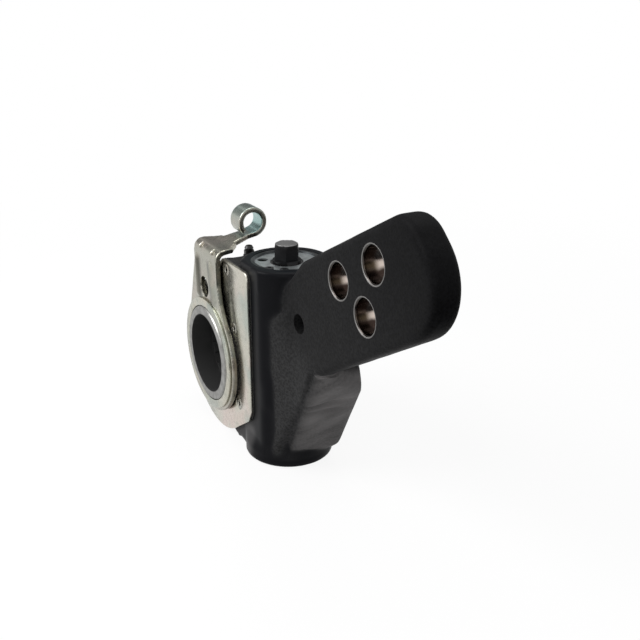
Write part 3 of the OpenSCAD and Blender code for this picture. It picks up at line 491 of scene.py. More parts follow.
def makeBeads():
    bm = bmesh.new()
    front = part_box("control_arm")[0].y
    centre = Vector((0.0, front + bead["bendR"], bead["bendTop"] - bead["bendR"]))
    out = Vector((0.0, -1.0, 1.0)).normalized() * (bead["bendR"] - bead["sink"])
    turn = Matrix.Rotation(math.radians(bead["turn"]), 4, "X")
    for x in bead["places"]:
        made = bmesh.ops.create_uvsphere(bm, u_segments=bead["sides"], v_segments=bead["rings"], radius=1.0)
        verts = made["verts"]
        bmesh.ops.scale(bm, verts=verts, vec=(bead["wide"], bead["long"] / 2, bead["high"]))
        place = Matrix.Translation(centre + out + Vector((x, 0.0, 0.0)))
        bmesh.ops.transform(bm, matrix=place @ turn, verts=verts)
    piece = makeObject(bm, "strapBeads")
    piece.data.shade_smooth()
    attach(piece, "control")
    return piece


bendBeads = makeBeads()
print("beads made")


def makeGroup(name, inputs, outputs):
    tree = bpy.data.node_groups.new(name, "ShaderNodeTree")
    for label, kind, value in inputs:
        socket = tree.interface.new_socket(label, in_out="INPUT", socket_type="NodeSocket" + kind)
        socket.default_value = value
    for label, kind in outputs:
        tree.interface.new_socket(label, in_out="OUTPUT", socket_type="NodeSocket" + kind)
    return tree, tree.nodes.new("NodeGroupInput"), tree.nodes.new("NodeGroupOutput")


def addNode(tree, kind, settings=None, values=None):
    node = tree.nodes.new("ShaderNode" + kind)
    for key, value in (settings or {}).items():
        setattr(node, key, value)
    for key, value in (values or {}).items():
        node.inputs[key].default_value = value
    return node


def join(tree, source, target):
    tree.links.new(source, target)


# a number, a colour or a link into a socket
def feed(tree, socket, value):
    if isinstance(value, (int, float)):
        socket.default_value = value
    elif isinstance(value, tuple):
        socket.default_value = value + (1.0,) if len(value) == 3 else value
    else:
        join(tree, value, socket)


def mathNode(tree, operation, *values):
    node = addNode(tree, "Math", {"operation": operation})
    for socket, value in zip(node.inputs, values):
        feed(tree, socket, value)
    return node.outputs[0]


def times(tree, first, *others):
    for other in others:
        first = mathNode(tree, "MULTIPLY", first, other)
    return first


# a value times its span, from a start
def spread(tree, value, span, start):
    return mathNode(tree, "MULTIPLY_ADD", value, span, start)


def lessThanOne(tree, value):
    return mathNode(tree, "SUBTRACT", 1.0, value)


def mixColor(tree, factor, under, over):
    node = addNode(tree, "Mix", {"data_type": "RGBA"})
    for place, value in ((0, factor), (6, under), (7, over)):  # sockets 6 and 7 are the two colours
        feed(tree, node.inputs[place], value)
    return node.outputs[2]


def scaleColor(tree, color, factor):
    node = addNode(tree, "VectorMath", {"operation": "SCALE"})
    feed(tree, node.inputs[0], color)
    feed(tree, node.inputs["Scale"], factor)
    return node.outputs[0]


# 0 at the first value and 1 at the second, with soft ends
def ramp(tree, value, low, high):
    settings = {"clamp": True, "interpolation_type": "SMOOTHSTEP"}
    node = addNode(tree, "MapRange", settings, {"From Min": low, "From Max": high})
    join(tree, value, node.inputs["Value"])
    return node.outputs["Result"]


def noiseNode(tree, vector, scale, detail, roughness=0.55, shift=0.0):
    values = {"W": shift, "Detail": detail, "Roughness": roughness}
    node = addNode(tree, "TexNoise", {"noise_dimensions": "4D"}, values)
    feed(tree, node.inputs["Scale"], scale)
    join(tree, vector, node.inputs["Vector"])
    return node.outputs["Fac"]


def objectPlace(tree):
    return addNode(tree, "TexCoord").outputs["Object"]


def splitPlace(tree):
    split = addNode(tree, "SeparateXYZ")
    join(tree, objectPlace(tree), split.inputs[0])
    return split.outputs


def mappedPlace(tree, kind, values):
    mapping = addNode(tree, "Mapping", {"vector_type": kind}, values)
    join(tree, objectPlace(tree), mapping.inputs["Vector"])
    return mapping.outputs["Vector"]


# distance from a line along one axis through a centre
def axisDistance(tree, centre, keep):
    shift = addNode(tree, "VectorMath", {"operation": "SUBTRACT"})
    shift.inputs[1].default_value = tuple(centre)
    join(tree, objectPlace(tree), shift.inputs[0])
    flat = addNode(tree, "VectorMath", {"operation": "MULTIPLY"})
    flat.inputs[1].default_value = keep
    join(tree, shift.outputs[0], flat.inputs[0])
    reach = addNode(tree, "VectorMath", {"operation": "LENGTH"})
    join(tree, flat.outputs[0], reach.inputs[0])
    return reach.outputs["Value"]


# distance past a leaning line in the plane of X and Z
def pastLine(tree, place, foot, lean):
    rise = times(tree, mathNode(tree, "SUBTRACT", place["Z"], foot[1]), lean)
    return mathNode(tree, "SUBTRACT", mathNode(tree, "SUBTRACT", place["X"], foot[0]), rise)


skinMarks = {
    "grainRough": 0.6, "pitPitch": 0.45, "pitSoft": 0.6, "pitShare": 0.6, "streak": 120.0, "streakRough": 0.5,
    "streakLong": (5.0, 1.0, 1.0), "streakTurn": (0.0, math.radians(-29), math.radians(61)),
}


# sandy skin of a blasted and coated forging
def makeForgedSkin():
    marks = skinMarks
    tree, gin, gout = makeGroup("forgedSkin", [("Grain", "Float", 1500.0), ("Patch", "Float", 60.0)],
                                [("Height", "Float"), ("Mottle", "Float"), ("Streak", "Float")])
    place = objectPlace(tree)
    pits = addNode(tree, "TexVoronoi", {"feature": "SMOOTH_F1"}, {"Smoothness": marks["pitSoft"]})
    join(tree, place, pits.inputs["Vector"])
    join(tree, times(tree, gin.outputs["Grain"], marks["pitPitch"]), pits.inputs["Scale"])
    grain = noiseNode(tree, place, gin.outputs["Grain"], detail=2.0, roughness=marks["grainRough"])
    height = mathNode(tree, "ADD", grain, times(tree, pits.outputs["Distance"], marks["pitShare"]))
    along = mappedPlace(tree, "TEXTURE", {"Scale": marks["streakLong"], "Rotation": marks["streakTurn"]})
    streak = noiseNode(tree, along, marks["streak"], detail=3.0, roughness=marks["streakRough"])
    join(tree, height, gout.inputs["Height"])
    join(tree, noiseNode(tree, place, gin.outputs["Patch"], detail=3.0), gout.inputs["Mottle"])
    join(tree, streak, gout.inputs["Streak"])
    return tree


filmMarks = {
    "warm": (0.42, 0.66), "cool": (0.48, 0.70), "cloudRough": 0.5, "coolPatch": 0.7, "coolShift": 3.7,
    "spot": 420.0, "spotRough": 0.65, "spots": (0.50, 0.72), "spotShare": 0.45, "gloss": (0.26, 0.16),
    "drawn": 900.0, "drawnLong": (1.0, 1.0, 0.12), "drawnRough": 0.5,
}


# faint colour play of a passivated zinc film, with drawing marks along the sheet
def makeZincFilm():
    marks = filmMarks
    zinc, dull = (0.5, 0.5, 0.45, 1.0), (0.2, 0.2, 0.18, 1.0)
    tones = [(label, "Color", zinc) for label in ("Base", "Warm", "Cool")]
    tree, gin, gout = makeGroup("zincFilm", tones + [("Dull", "Color", dull), ("Patch", "Float", 60.0)],
                                [("Color", "Color"), ("Rough", "Float"), ("Height", "Float")])
    place = objectPlace(tree)
    patch, soft = gin.outputs["Patch"], marks["cloudRough"]
    coolPatch = times(tree, patch, marks["coolPatch"])
    warm = noiseNode(tree, place, patch, detail=2.0, roughness=soft)
    cool = noiseNode(tree, place, coolPatch, detail=2.0, roughness=soft, shift=marks["coolShift"])
    spots = noiseNode(tree, place, marks["spot"], detail=3.0, roughness=marks["spotRough"])
    first = mixColor(tree, ramp(tree, warm, *marks["warm"]), gin.outputs["Base"], gin.outputs["Warm"])
    second = mixColor(tree, ramp(tree, cool, *marks["cool"]), first, gin.outputs["Cool"])
    dulled = times(tree, ramp(tree, spots, *marks["spots"]), marks["spotShare"])
    along = mappedPlace(tree, "POINT", {"Scale": marks["drawnLong"]})
    drawn = noiseNode(tree, along, marks["drawn"], detail=2.0, roughness=marks["drawnRough"])
    join(tree, mixColor(tree, dulled, second, gin.outputs["Dull"]), gout.inputs["Color"])
    join(tree, spread(tree, spots, *marks["gloss"]), gout.inputs["Rough"])
    join(tree, drawn, gout.inputs["Height"])
    return tree


turnMarks = {"waver": {"Distortion": 1.2, "Detail": 2.0, "Detail Scale": 1.5}, "shade": 240.0}


# turning marks round an axis through a centre, with the axis along the mapped Z
def makeTurnedFace():
    inputs = [("Vector", "Vector", (0.0, 0.0, 0.0)), ("Pitch", "Float", 1800.0)]
    tree, gin, gout = makeGroup("turnedFace", inputs, [("Height", "Float"), ("Shade", "Float")])
    kind = {"wave_type": "RINGS", "rings_direction": "Z", "wave_profile": "SIN"}
    rings = addNode(tree, "TexWave", kind, turnMarks["waver"])
    join(tree, gin.outputs["Vector"], rings.inputs["Vector"])
    join(tree, gin.outputs["Pitch"], rings.inputs["Scale"])
    join(tree, rings.outputs["Fac"], gout.inputs["Height"])
    join(tree, noiseNode(tree, gin.outputs["Vector"], turnMarks["shade"], detail=3.0), gout.inputs["Shade"])
    return tree


forgedSkin = makeForgedSkin()
zincFilm = makeZincFilm()
turnedFace = makeTurnedFace()
print("shader groups made")


def newMaterial(name):
    material = bpy.data.materials.new(name)
    material.use_nodes = True
    return material, material.node_tree, material.node_tree.nodes["Principled BSDF"]


def placeGroup(tree, group, values):
    node = addNode(tree, "Group", {"node_tree": group})
    for key, value in values.items():
        feed(tree, node.inputs[key], value)
    return node


def addBump(tree, shader, height, strength, depth):
    bump = addNode(tree, "Bump", values={"Strength": strength, "Distance": depth})
    join(tree, height, bump.inputs["Height"])
    join(tree, bump.outputs["Normal"], shader.inputs["Normal"])


# a pair says where a tone starts and where it is full, or the span and start of a value
blackCoat = {
    "smooth": (0.0050, 0.0052, 0.0064), "dark": (0.0030, 0.0030, 0.0034), "pale": (0.0098, 0.0098, 0.0102),
    "palest": (0.0235, 0.0235, 0.0240), "scale": (0.128, 0.123, 0.123), "scaleDark": (0.054, 0.052, 0.052),
    "flank": (0.046, 0.045, 0.046), "rim": (0.0050, 0.0060, 0.0075),
    "grain": 1900.0, "patch": 55.0, "specular": 0.05, "bump": 0.5, "depth": 0.00014,
    "gloss": (0.18, 0.26), "sandyGloss": 0.22, "sandyBump": (0.85, 0.15),
    "speckle": (0.5, 1.05), "contrast": 0.75,
    "column": (0.0211, 0.0221), "lowGrow": 0.0008, "growFrom": (0.012, 0.0), "growTo": (-0.031, -0.020),
    "foot": (-0.0372, -0.0352), "rimZ": (0.0562, 0.0564), "slant": (0.55, 0.83),
    "leverShade": (0.175, 0.075), "webLight": (0.075, 0.045), "wear": (0.42, 0.72), "wearShare": 0.16,
    "ridge": (-0.0004, 0.0042), "under": (0.0036, 0.0062), "noseBlur": 0.0015,
    "streaks": (0.30, 0.70), "flakes": 0.35,
    "flankTop": (-0.022, -0.027), "flankSide": (0.0450, 0.0390), "flankFoot": (-0.0422, -0.0362),
}


# smooth coat on the worm housing's column, sandy on the lever, pale scale on the buttress's side
def makeBlackCoat():
    coat = blackCoat
    material, tree, shader = newMaterial("blackCoat")
    skin = placeGroup(tree, forgedSkin, {"Grain": coat["grain"], "Patch": coat["patch"]})
    place = splitPlace(tree)
    mottle, speckle = skin.outputs["Mottle"], ramp(tree, skin.outputs["Height"], *coat["speckle"])
    # where the column ends, a little wider lower down
    grown = times(tree, ramp(tree, place["Z"], *coat["growFrom"]), ramp(tree, place["Z"], *coat["growTo"]))
    reach = axisDistance(tree, wormAxis, (1.0, 1.0, 0.0))
    column = mathNode(tree, "SUBTRACT", reach, times(tree, grown, coat["lowGrow"]))
    off = ramp(tree, column, *coat["column"])
    sandy = times(tree, off, ramp(tree, place["Z"], *coat["foot"]))
    # sand painted darker towards the lever's end as painted shade, and palest on the web as painted light
    slant = coat["slant"]
    across = mathNode(tree, "ADD", times(tree, place["X"], slant[0]), times(tree, place["Z"], slant[1]))
    pale = mixColor(tree, ramp(tree, across, *coat["webLight"]), coat["pale"], coat["palest"])
    toned = mixColor(tree, ramp(tree, across, *coat["leverShade"]), coat["dark"], pale)
    sand = scaleColor(tree, toned, spread(tree, speckle, coat["contrast"], 1.0 - coat["contrast"] / 2))
    plain = mixColor(tree, sandy, coat["smooth"], sand)
    # painted light on the flank under the plate
    flankTop = ramp(tree, place["Z"], *coat["flankTop"])
    flankSide = ramp(tree, place["X"], *coat["flankSide"])
    flank = times(tree, flankTop, flankSide, ramp(tree, place["Z"], *coat["flankFoot"]))
    lit = mixColor(tree, flank, plain, coat["flank"])
    # scale on the buttress's side
    ridge = ramp(tree, pastLine(tree, place, *ridgeLine), *coat["ridge"])
    under = ramp(tree, pastLine(tree, place, *leverLine), *coat["under"])
    nose = ramp(tree, place["X"], buttress["noseX"] + coat["noseBlur"], buttress["noseX"])
    streaks = ramp(tree, skin.outputs["Streak"], *coat["streaks"])
    scale = mixColor(tree, streaks, coat["scaleDark"], coat["scale"])
    flaked = mixColor(tree, times(tree, speckle, coat["flakes"]), scale, coat["scale"])
    color = mixColor(tree, times(tree, ridge, under, sandy, nose), lit, flaked)
    # wear on the sand, and the turned rim at the top
    wear = times(tree, ramp(tree, mottle, *coat["wear"]), coat["wearShare"])
    mottled = mixColor(tree, sandy, color, mixColor(tree, wear, color, coat["pale"]))
    onRim = times(tree, ramp(tree, place["Z"], *coat["rimZ"]), lessThanOne(tree, off))
    join(tree, mixColor(tree, onRim, mottled, coat["rim"]), shader.inputs["Base Color"])
    rough = spread(tree, sandy, coat["sandyGloss"], spread(tree, mottle, *coat["gloss"]))
    join(tree, rough, shader.inputs["Roughness"])
    shader.inputs["Specular IOR Level"].default_value = coat["specular"]
    height = times(tree, skin.outputs["Height"], spread(tree, sandy, *coat["sandyBump"]))
    addBump(tree, shader, height, coat["bump"], coat["depth"])
    return material


zincTones = {
    "plate": {"Base": (0.55, 0.53, 0.46), "Warm": (0.61, 0.525, 0.475), "Cool": (0.42, 0.455, 0.41),
              "Dull": (0.30, 0.29, 0.25), "Patch": 60.0},
    "arm": {"Base": (0.37, 0.365, 0.31), "Warm": (0.43, 0.395, 0.345), "Cool": (0.26, 0.295, 0.27),
            "Dull": (0.24, 0.235, 0.20), "Patch": 75.0},
    "ring": {"Base": (0.46, 0.455, 0.385), "Warm": (0.53, 0.50, 0.42), "Cool": (0.38, 0.405, 0.36),
             "Dull": (0.24, 0.235, 0.20), "Patch": 90.0},
    "screw": {"Base": (0.36, 0.35, 0.31), "Warm": (0.40, 0.37, 0.32), "Cool": (0.29, 0.31, 0.29),
              "Dull": (0.16, 0.16, 0.14), "Patch": 300.0},
    "cut": {"Base": (0.24, 0.235, 0.20), "Warm": (0.28, 0.25, 0.21), "Cool": (0.19, 0.205, 0.185),
            "Dull": (0.12, 0.12, 0.10), "Patch": 160.0},
}
zincSheet = {"bump": 0.12, "depth": 0.00005}
socketShade = {"from": 0.0003, "to": 0.0006, "color": (0.012, 0.012, 0.010)}
armShade = {"side": (0.027, 0.012), "height": (-0.020, -0.008), "share": 0.85, "color": (0.085, 0.083, 0.062)}
ribShade = {
    "lines": (((-0.0085, 0.0490), -0.05), ((0.0045, 0.0490), -0.165)), "width": 0.0040, "share": 0.80,
    "low": (0.0250, 0.0290), "high": (0.0505, 0.0465), "face": (0.0033, 0.0027),
    "color": (0.050, 0.050, 0.041),
}
eye = {
    "y": 0.0254, "z": 0.0655, "inside": (0.00545, 0.00515), "neck": (0.0165, 0.0205), "neckShare": 0.4,
    "teal": (0.33, 0.47, 0.455),
}


# painted shade in the screws' sockets
def shadedSockets(tree, color):
    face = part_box("cover_screws")[0].y
    depth = ramp(tree, splitPlace(tree)["Y"], face + socketShade["from"], face + socketShade["to"])
    return mixColor(tree, depth, color, socketShade["color"])


# painted shade on the plate's strip beside and behind the arm
def shadedPlate(tree, color):
    place = splitPlace(tree)
    upper = ramp(tree, place["Z"], *armShade["height"])
    share = times(tree, ramp(tree, place["X"], *armShade["side"]), upper, armShade["share"])
    return mixColor(tree, share, color, armShade["color"])


# greenish film inside the curled eye and on its neck, and painted shade in a band beside each pressed rib
def filmedAndRibShadedArm(tree, color):
    place = splitPlace(tree)
    reach = axisDistance(tree, (0.0, eye["y"], eye["z"]), (0.0, 1.0, 1.0))
    neck = times(tree, ramp(tree, place["Y"], *eye["neck"]), eye["neckShare"])
    curled = mathNode(tree, "MAXIMUM", ramp(tree, reach, *eye["inside"]), neck)
    color = mixColor(tree, curled, color, eye["teal"])
    # the dark bands beside the pressed ribs are painted shade
    span = times(tree, ramp(tree, place["Z"], *ribShade["low"]), ramp(tree, place["Z"], *ribShade["high"]))
    front = times(tree, span, ramp(tree, place["Y"], *ribShade["face"]))
    for foot, lean in ribShade["lines"]:
        off, width = pastLine(tree, place, foot, lean), ribShade["width"]
        band = times(tree, ramp(tree, off, -width, 0.0), ramp(tree, off, width, 0.0))
        color = mixColor(tree, times(tree, band, front, ribShade["share"]), color, ribShade["color"])
    return color


zincExtras = {"screw": shadedSockets, "plate": shadedPlate, "arm": filmedAndRibShadedArm}


def makeZinc(name):
    material, tree, shader = newMaterial(name + "Zinc")
    film = placeGroup(tree, zincFilm, zincTones[name])
    color = film.outputs["Color"]
    if name in zincExtras:
        color = zincExtras[name](tree, color)
    join(tree, color, shader.inputs["Base Color"])
    join(tree, film.outputs["Rough"], shader.inputs["Roughness"])
    shader.inputs["Metallic"].default_value = 1.0
    addBump(tree, shader, film.outputs["Height"], zincSheet["bump"], zincSheet["depth"])
    return material


def turnedMarks(tree, centre, turn, pitch):
    vector = mappedPlace(tree, "TEXTURE", {"Location": tuple(centre), "Rotation": turn})
    return placeGroup(tree, turnedFace, {"Vector": vector, "Pitch": pitch})


capSteel = {
    "bright": (0.58, 0.62, 0.625), "dull": (0.33, 0.355, 0.36), "deep": (0.006, 0.007, 0.007),
    "pitch": 1500.0, "clouds": (0.35, 0.7), "sunk": (0.0004, 0.0008), "gloss": (0.2, 0.26),
    "bump": 0.25, "depth": 0.00004,
}


# turned disc, with painted shade in the spanner holes and round the shaft
def makeCapSteel():
    material, tree, shader = newMaterial("capSteel")
    face = turnedMarks(tree, wormAxis, (0.0, 0.0, 0.0), capSteel["pitch"])
    top, shade = capBox[1].z, face.outputs["Shade"]
    deep = ramp(tree, splitPlace(tree)["Z"], top - capSteel["sunk"][0], top - capSteel["sunk"][1])
    steel = mixColor(tree, ramp(tree, shade, *capSteel["clouds"]), capSteel["bright"], capSteel["dull"])
    join(tree, mixColor(tree, deep, steel, capSteel["deep"]), shader.inputs["Base Color"])
    join(tree, spread(tree, shade, *capSteel["gloss"]), shader.inputs["Roughness"])
    join(tree, lessThanOne(tree, deep), shader.inputs["Metallic"])
    addBump(tree, shader, face.outputs["Height"], capSteel["bump"], capSteel["depth"])
    return material


hubSteel = {
    "bright": (0.30, 0.298, 0.285), "dull": (0.19, 0.188, 0.18), "boreShade": (0.016, 0.016, 0.016),
    "turn": (math.radians(90), 0.0, 0.0), "pitch": 1400.0, "clouds": (0.35, 0.7),
    "bore": (0.0202, 0.0198), "boreDull": 0.8, "gloss": (0.2, 0.30), "boreGloss": 0.25,
    "bump": 0.2, "depth": 0.00004,
}


# turned hub end with painted shade in its bore
def makeHubSteel():
    material, tree, shader = newMaterial("hubSteel")
    face = turnedMarks(tree, (0.0, 0.0, 0.0), hubSteel["turn"], hubSteel["pitch"])
    shade = face.outputs["Shade"]
    inside = ramp(tree, axisDistance(tree, (0.0, 0.0, 0.0), (1.0, 0.0, 1.0)), *hubSteel["bore"])
    steel = mixColor(tree, ramp(tree, shade, *hubSteel["clouds"]), hubSteel["bright"], hubSteel["dull"])
    join(tree, mixColor(tree, inside, steel, hubSteel["boreShade"]), shader.inputs["Base Color"])
    join(tree, lessThanOne(tree, times(tree, inside, hubSteel["boreDull"])), shader.inputs["Metallic"])
    rough = spread(tree, inside, hubSteel["boreGloss"], spread(tree, shade, *hubSteel["gloss"]))
    join(tree, rough, shader.inputs["Roughness"])
    addBump(tree, shader, face.outputs["Height"], hubSteel["bump"], hubSteel["depth"])
    return material


bushMetal = {
    "rim": (0.19, 0.185, 0.18), "shade": (0.040, 0.036, 0.034), "polishedHighlight": (0.66, 0.57, 0.51),
    "brown": (0.105, 0.079, 0.052), "upperShade": (0.15, 0.122, 0.108), "greyReflection": (0.46, 0.445, 0.43),
    "boreShade": (0.040, 0.027, 0.022),
    "rimY": (0.01525, 0.0151), "mouth": (0.0163, 0.0151), "deep": (0.0192, 0.0228),
    "band": (-0.66, -0.06), "blur": 0.24, "upper": (-0.1, 0.3), "cloud": 140.0, "waver": 0.5,
    "mark": 260.0, "markRough": 0.6, "markLong": (1.0, 6.0, 1.0), "gloss": (0.2, 0.12), "polish": 0.14,
    "rimGloss": 0.35, "bump": 0.15, "depth": 0.00005,
}


# grey rims, and a brown bore with a painted highlight at the deep end of the band that the pin has polished,
# painted shade and a grey painted reflection above the band, and painted shade below it and at the mouth
def makeBushMetal():
    bush = bushMetal
    material, tree, shader = newMaterial("bushMetal")
    along = mappedPlace(tree, "POINT", {"Scale": bush["markLong"]})
    marks = noiseNode(tree, along, bush["mark"], detail=3.0, roughness=bush["markRough"])
    clouds = noiseNode(tree, objectPlace(tree), bush["cloud"], detail=2.0)
    depth = splitPlace(tree)["Y"]
    height = addNode(tree, "Attribute", {"attribute_name": "boreHeight"}).outputs["Fac"]
    uneven = mathNode(tree, "ADD", height, spread(tree, clouds, bush["waver"], -bush["waver"] / 2))
    (low, top), blur = bush["band"], bush["blur"]
    band = times(tree, ramp(tree, uneven, low, low + blur), ramp(tree, uneven, top, top - blur))
    deep = ramp(tree, depth, *bush["deep"])
    greyed = times(tree, ramp(tree, height, *bush["upper"]), deep)
    upper = mixColor(tree, greyed, bush["upperShade"], bush["greyReflection"])
    dark = mixColor(tree, ramp(tree, height, low + blur, low), upper, bush["boreShade"])
    wall = mixColor(tree, band, dark, mixColor(tree, deep, bush["brown"], bush["polishedHighlight"]))
    inner = mixColor(tree, ramp(tree, depth, *bush["mouth"]), wall, bush["shade"])
    rim = ramp(tree, depth, *bush["rimY"])
    join(tree, mixColor(tree, rim, inner, bush["rim"]), shader.inputs["Base Color"])
    shader.inputs["Metallic"].default_value = 1.0
    polish = times(tree, band, deep, bush["polish"])
    gloss = mathNode(tree, "ADD", spread(tree, marks, *bush["gloss"]), polish)
    join(tree, spread(tree, rim, bush["rimGloss"], gloss), shader.inputs["Roughness"])
    addBump(tree, shader, marks, bush["bump"], bush["depth"])
    return material


wormOxide = {
    "dark": (0.0055, 0.0055, 0.006), "pale": (0.011, 0.011, 0.012), "worn": (0.16, 0.159, 0.158),
    "grain": 1800.0, "patch": 140.0, "clouds": (0.3, 0.7), "top": (0.00045, 0.0002), "rubbed": (0.1, 0.7),
    "gloss": (0.2, 0.34), "bare": 0.7, "specular": 0.1, "bump": 0.15, "depth": 0.00006,
}


# black oxide with a worn grey top on the hexagon
def makeWormOxide():
    oxide = wormOxide
    material, tree, shader = newMaterial("wormOxide")
    skin = placeGroup(tree, forgedSkin, {"Grain": oxide["grain"], "Patch": oxide["patch"]})
    mottle, height = skin.outputs["Mottle"], skin.outputs["Height"]
    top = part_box("worm_shaft")[1].z
    worn = ramp(tree, splitPlace(tree)["Z"], top - oxide["top"][0], top - oxide["top"][1])
    rubbed = times(tree, worn, ramp(tree, height, *oxide["rubbed"]))
    black = mixColor(tree, ramp(tree, mottle, *oxide["clouds"]), oxide["dark"], oxide["pale"])
    join(tree, mixColor(tree, rubbed, black, oxide["worn"]), shader.inputs["Base Color"])
    join(tree, spread(tree, mottle, *oxide["gloss"]), shader.inputs["Roughness"])
    join(tree, times(tree, rubbed, oxide["bare"]), shader.inputs["Metallic"])
    shader.inputs["Specular IOR Level"].default_value = oxide["specular"]
    addBump(tree, shader, height, oxide["bump"], oxide["depth"])
    return material


grained = {
    "snap": {"dark": (0.045, 0.047, 0.050), "pale": (0.10, 0.103, 0.107), "roughness": 0.26, "metallic": 0.95,
             "grain": 1500.0, "bump": 0.1},
    "nipple": {"dark": (0.018, 0.018, 0.018), "pale": (0.05, 0.05, 0.049), "roughness": 0.2, "metallic": 0.9,
               "grain": 1500.0, "bump": 0.1},
    "rubber": {"dark": (0.008, 0.008, 0.008), "pale": (0.015, 0.015, 0.015), "roughness": 0.55,
               "metallic": 0.0, "grain": 1200.0, "bump": 0.3},
    "gasket": {"dark": (0.02, 0.02, 0.019), "pale": (0.04, 0.04, 0.037), "roughness": 0.75, "metallic": 0.0,
               "grain": 1600.0, "bump": 0.4},
    "bronze": {"dark": (0.42, 0.29, 0.13), "pale": (0.5, 0.36, 0.17), "roughness": 0.3, "metallic": 1.0,
               "grain": 1500.0, "bump": 0.12},
    "steel": {"dark": (0.36, 0.365, 0.37), "pale": (0.46, 0.465, 0.47), "roughness": 0.26, "metallic": 1.0,
              "grain": 1500.0, "bump": 0.1},
}
fineGrain = {"patch": 140.0, "clouds": (0.3, 0.7), "gloss": 0.2, "depth": 0.00006}


def makeGrained(name):
    look = grained[name]
    material, tree, shader = newMaterial(name + "Grain")
    skin = placeGroup(tree, forgedSkin, {"Grain": look["grain"], "Patch": fineGrain["patch"]})
    mottle = skin.outputs["Mottle"]
    color = mixColor(tree, ramp(tree, mottle, *fineGrain["clouds"]), look["dark"], look["pale"])
    join(tree, color, shader.inputs["Base Color"])
    join(tree, spread(tree, mottle, fineGrain["gloss"], look["roughness"]), shader.inputs["Roughness"])
    shader.inputs["Metallic"].default_value = look["metallic"]
    addBump(tree, shader, skin.outputs["Height"], look["bump"], fineGrain["depth"])
    return material


finishes = {
    "body": makeBlackCoat(), "bush": makeBushMetal(), "hub": makeHubSteel(), "cap": makeCapSteel(),
    "worm": makeWormOxide(),
}
finishes.update({name: makeZinc(name) for name in zincTones})
finishes.update({name: makeGrained(name) for name in grained})
for name, obj in nodes.items():
    for slot in obj.material_slots:
        slot.material = finishes[slotOf[name]]

sheared = {"front": 0.0062, "top": 0.049, "side": 0.75, "edge": 0.3}


def paint(piece, *keys):
    piece.data.materials.clear()
    for key in keys:
        piece.data.materials.append(finishes[key])


# sheared edges of the arm's sheet are darker than its drawn faces
def paintSheet(piece):
    paint(piece, "arm", "cut")
    for face in piece.data.polygons:
        level = face.center.y < sheared["front"] and face.center.z < sheared["top"]
        edge = level and abs(face.normal.y) < sheared["edge"]
        face.material_index = 1 if edge or abs(face.normal.x) > sheared["side"] else 0


paint(forgedBody, "body")
paint(bendBeads, "arm")
for name, piece in easedPieces.items():
    paint(piece, slotOf[name])
paintSheet(easedPieces["control_arm"])
print("materials assigned:", len(finishes))

view = {
    "place": (0.37896, -0.14144, 0.17471), "right": (0.4788, 0.8779, 0.0), "up": (-0.3204, 0.1748, 0.9310),
    "sensor": 36.0, "lens": 48.79, "nearest": 0.01,
}


def makeCamera():
    camera = bpy.data.cameras.new("camera")
    camera.sensor_width = view["sensor"]
    camera.lens = view["lens"]
    camera.clip_start = view["nearest"]
    holder = bpy.data.objects.new("camera", camera)
    right = Vector(view["right"]).normalized()
    up = Vector(view["up"])
    up = (up - right * up.dot(right)).normalized()
    turn = Matrix((right, up, right.cross(up))).transposed().to_4x4()
    holder.matrix_world = Matrix.Translation(view["place"]) @ turn
    bpy.context.scene.collection.objects.link(holder)
    bpy.context.scene.camera = holder


makeCamera()

floorGap = 0.0002  # the floor lies just under the foot
stage = {
    "level": cadBox[0][2] - floorGap, "size": 6.0, "color": (0.9, 0.9, 0.9, 1.0), "roughness": 0.9,
    "glow": 0.9, "centre": (0.06, 0.02, 0.0), "fade": (0.12, 0.60),
}


# rays that see the background itself: straight from the camera, or by way of metal or glass
def seenRays(tree):
    path = addNode(tree, "LightPath")
    shiny = mathNode(tree, "MAXIMUM", path.outputs["Is Glossy Ray"], path.outputs["Is Transmission Ray"])
    return mathNode(tree, "MAXIMUM", path.outputs["Is Camera Ray"], shiny)


def makeFloor():
    bm = bmesh.new()
    bmesh.ops.create_grid(bm, x_segments=1, y_segments=1, size=stage["size"])
    bmesh.ops.translate(bm, verts=bm.verts, vec=(0.0, 0.0, stage["level"]))
    floor = makeObject(bm, "floor")
    material, tree, shader = newMaterial("paleFloor")
    shader.inputs["Base Color"].default_value = stage["color"]
    shader.inputs["Roughness"].default_value = stage["roughness"]
    shader.inputs["Specular IOR Level"].default_value = 0.0
    white = addNode(tree, "Emission", values={"Strength": 1.0})
    # the shadow stays near the object and fades to white further out
    away = ramp(tree, axisDistance(tree, stage["centre"], (1.0, 1.0, 0.0)), *stage["fade"])
    share = times(tree, seenRays(tree), spread(tree, away, 1.0 - stage["glow"], stage["glow"]))
    blend = addNode(tree, "MixShader")
    join(tree, share, blend.inputs[0])
    join(tree, shader.outputs[0], blend.inputs[1])
    join(tree, white.outputs[0], blend.inputs[2])
    join(tree, blend.outputs[0], tree.nodes["Material Output"].inputs["Surface"])
    floor.data.materials.append(material)


makeFloor()

world = {"seen": 1.0, "light": 0.30}


def makeWorld():
    studio = bpy.data.worlds.new("studio")
    bpy.context.scene.world = studio
    studio.use_nodes = True
    tree = studio.node_tree
    background = tree.nodes["Background"]
    background.inputs["Color"].default_value = (1.0, 1.0, 1.0, 1.0)
    strength = spread(tree, seenRays(tree), world["seen"] - world["light"], world["light"])
    join(tree, strength, background.inputs["Strength"])


makeWorld()

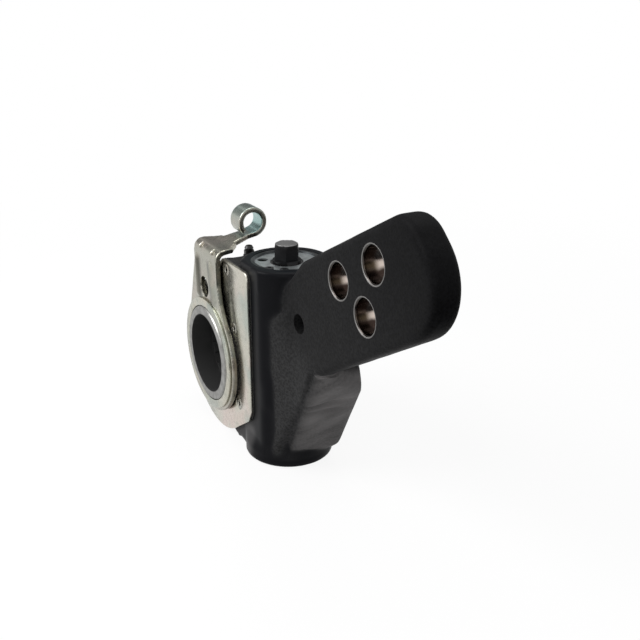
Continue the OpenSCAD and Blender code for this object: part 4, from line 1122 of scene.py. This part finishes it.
# dark cards beside the set, which only show in metal and gloss
cards = {
    "rightCard": {"place": (0.62, 0.34, stage["level"] + 0.001), "tilt": 0, "turn": 0, "size": (0.46, 0.50),
                  "shade": 0.05},
    "leftCard": {"place": (-0.72, -0.30, 0.42), "tilt": 62, "turn": 22, "size": (0.26, 0.34), "shade": 0.22},
    "backCard": {"place": (-0.75, 0.46, 0.45), "tilt": 72, "turn": -30, "size": (0.40, 0.50), "shade": 0.21},
}


def makeCard(name):
    card = cards[name]
    bm = bmesh.new()
    bmesh.ops.create_grid(bm, x_segments=1, y_segments=1, size=1.0)
    bmesh.ops.scale(bm, verts=bm.verts, vec=card["size"] + (1.0,))
    for angle, axis in ((card["tilt"], "Y"), (card["turn"], "Z")):
        bmesh.ops.rotate(bm, verts=bm.verts, matrix=Matrix.Rotation(math.radians(angle), 3, axis))
    bmesh.ops.translate(bm, verts=bm.verts, vec=card["place"])
    piece = makeObject(bm, name)
    material, tree = newMaterial(name)[:2]
    shade = addNode(tree, "Emission", values={"Color": (1.0, 1.0, 1.0, 1.0), "Strength": card["shade"]})
    join(tree, shade.outputs[0], tree.nodes["Material Output"].inputs["Surface"])
    piece.data.materials.append(material)
    piece.visible_camera = False
    piece.visible_diffuse = False
    piece.visible_shadow = False
    piece.visible_transmission = False


for name in cards:
    makeCard(name)

lamps = {
    "key": {"place": (-0.30, -0.80, 0.72), "aim": (0.05, 0.02, 0.02), "size": 0.75, "power": 11.0},
    "overhead": {"place": (0.00, 0.15, 1.00), "aim": (0.05, 0.02, 0.0), "size": 0.8, "power": 4.0},
    "fill": {"place": (0.90, -0.55, 0.50), "aim": (0.08, 0.03, 0.03), "size": 0.6, "power": 1.5},
}


def makeLamp(name):
    lamp = lamps[name]
    light = bpy.data.lights.new(name, "AREA")
    light.shape = "DISK"
    light.size = lamp["size"]
    light.energy = lamp["power"]
    holder = bpy.data.objects.new(name, light)
    holder.location = lamp["place"]
    aim = Vector(lamp["aim"]) - Vector(lamp["place"])
    holder.rotation_euler = aim.to_track_quat("-Z", "Y").to_euler()
    bpy.context.scene.collection.objects.link(holder)


for name in lamps:
    makeLamp(name)
bpy.context.scene.view_settings.view_transform = "Standard"
print("stage set")
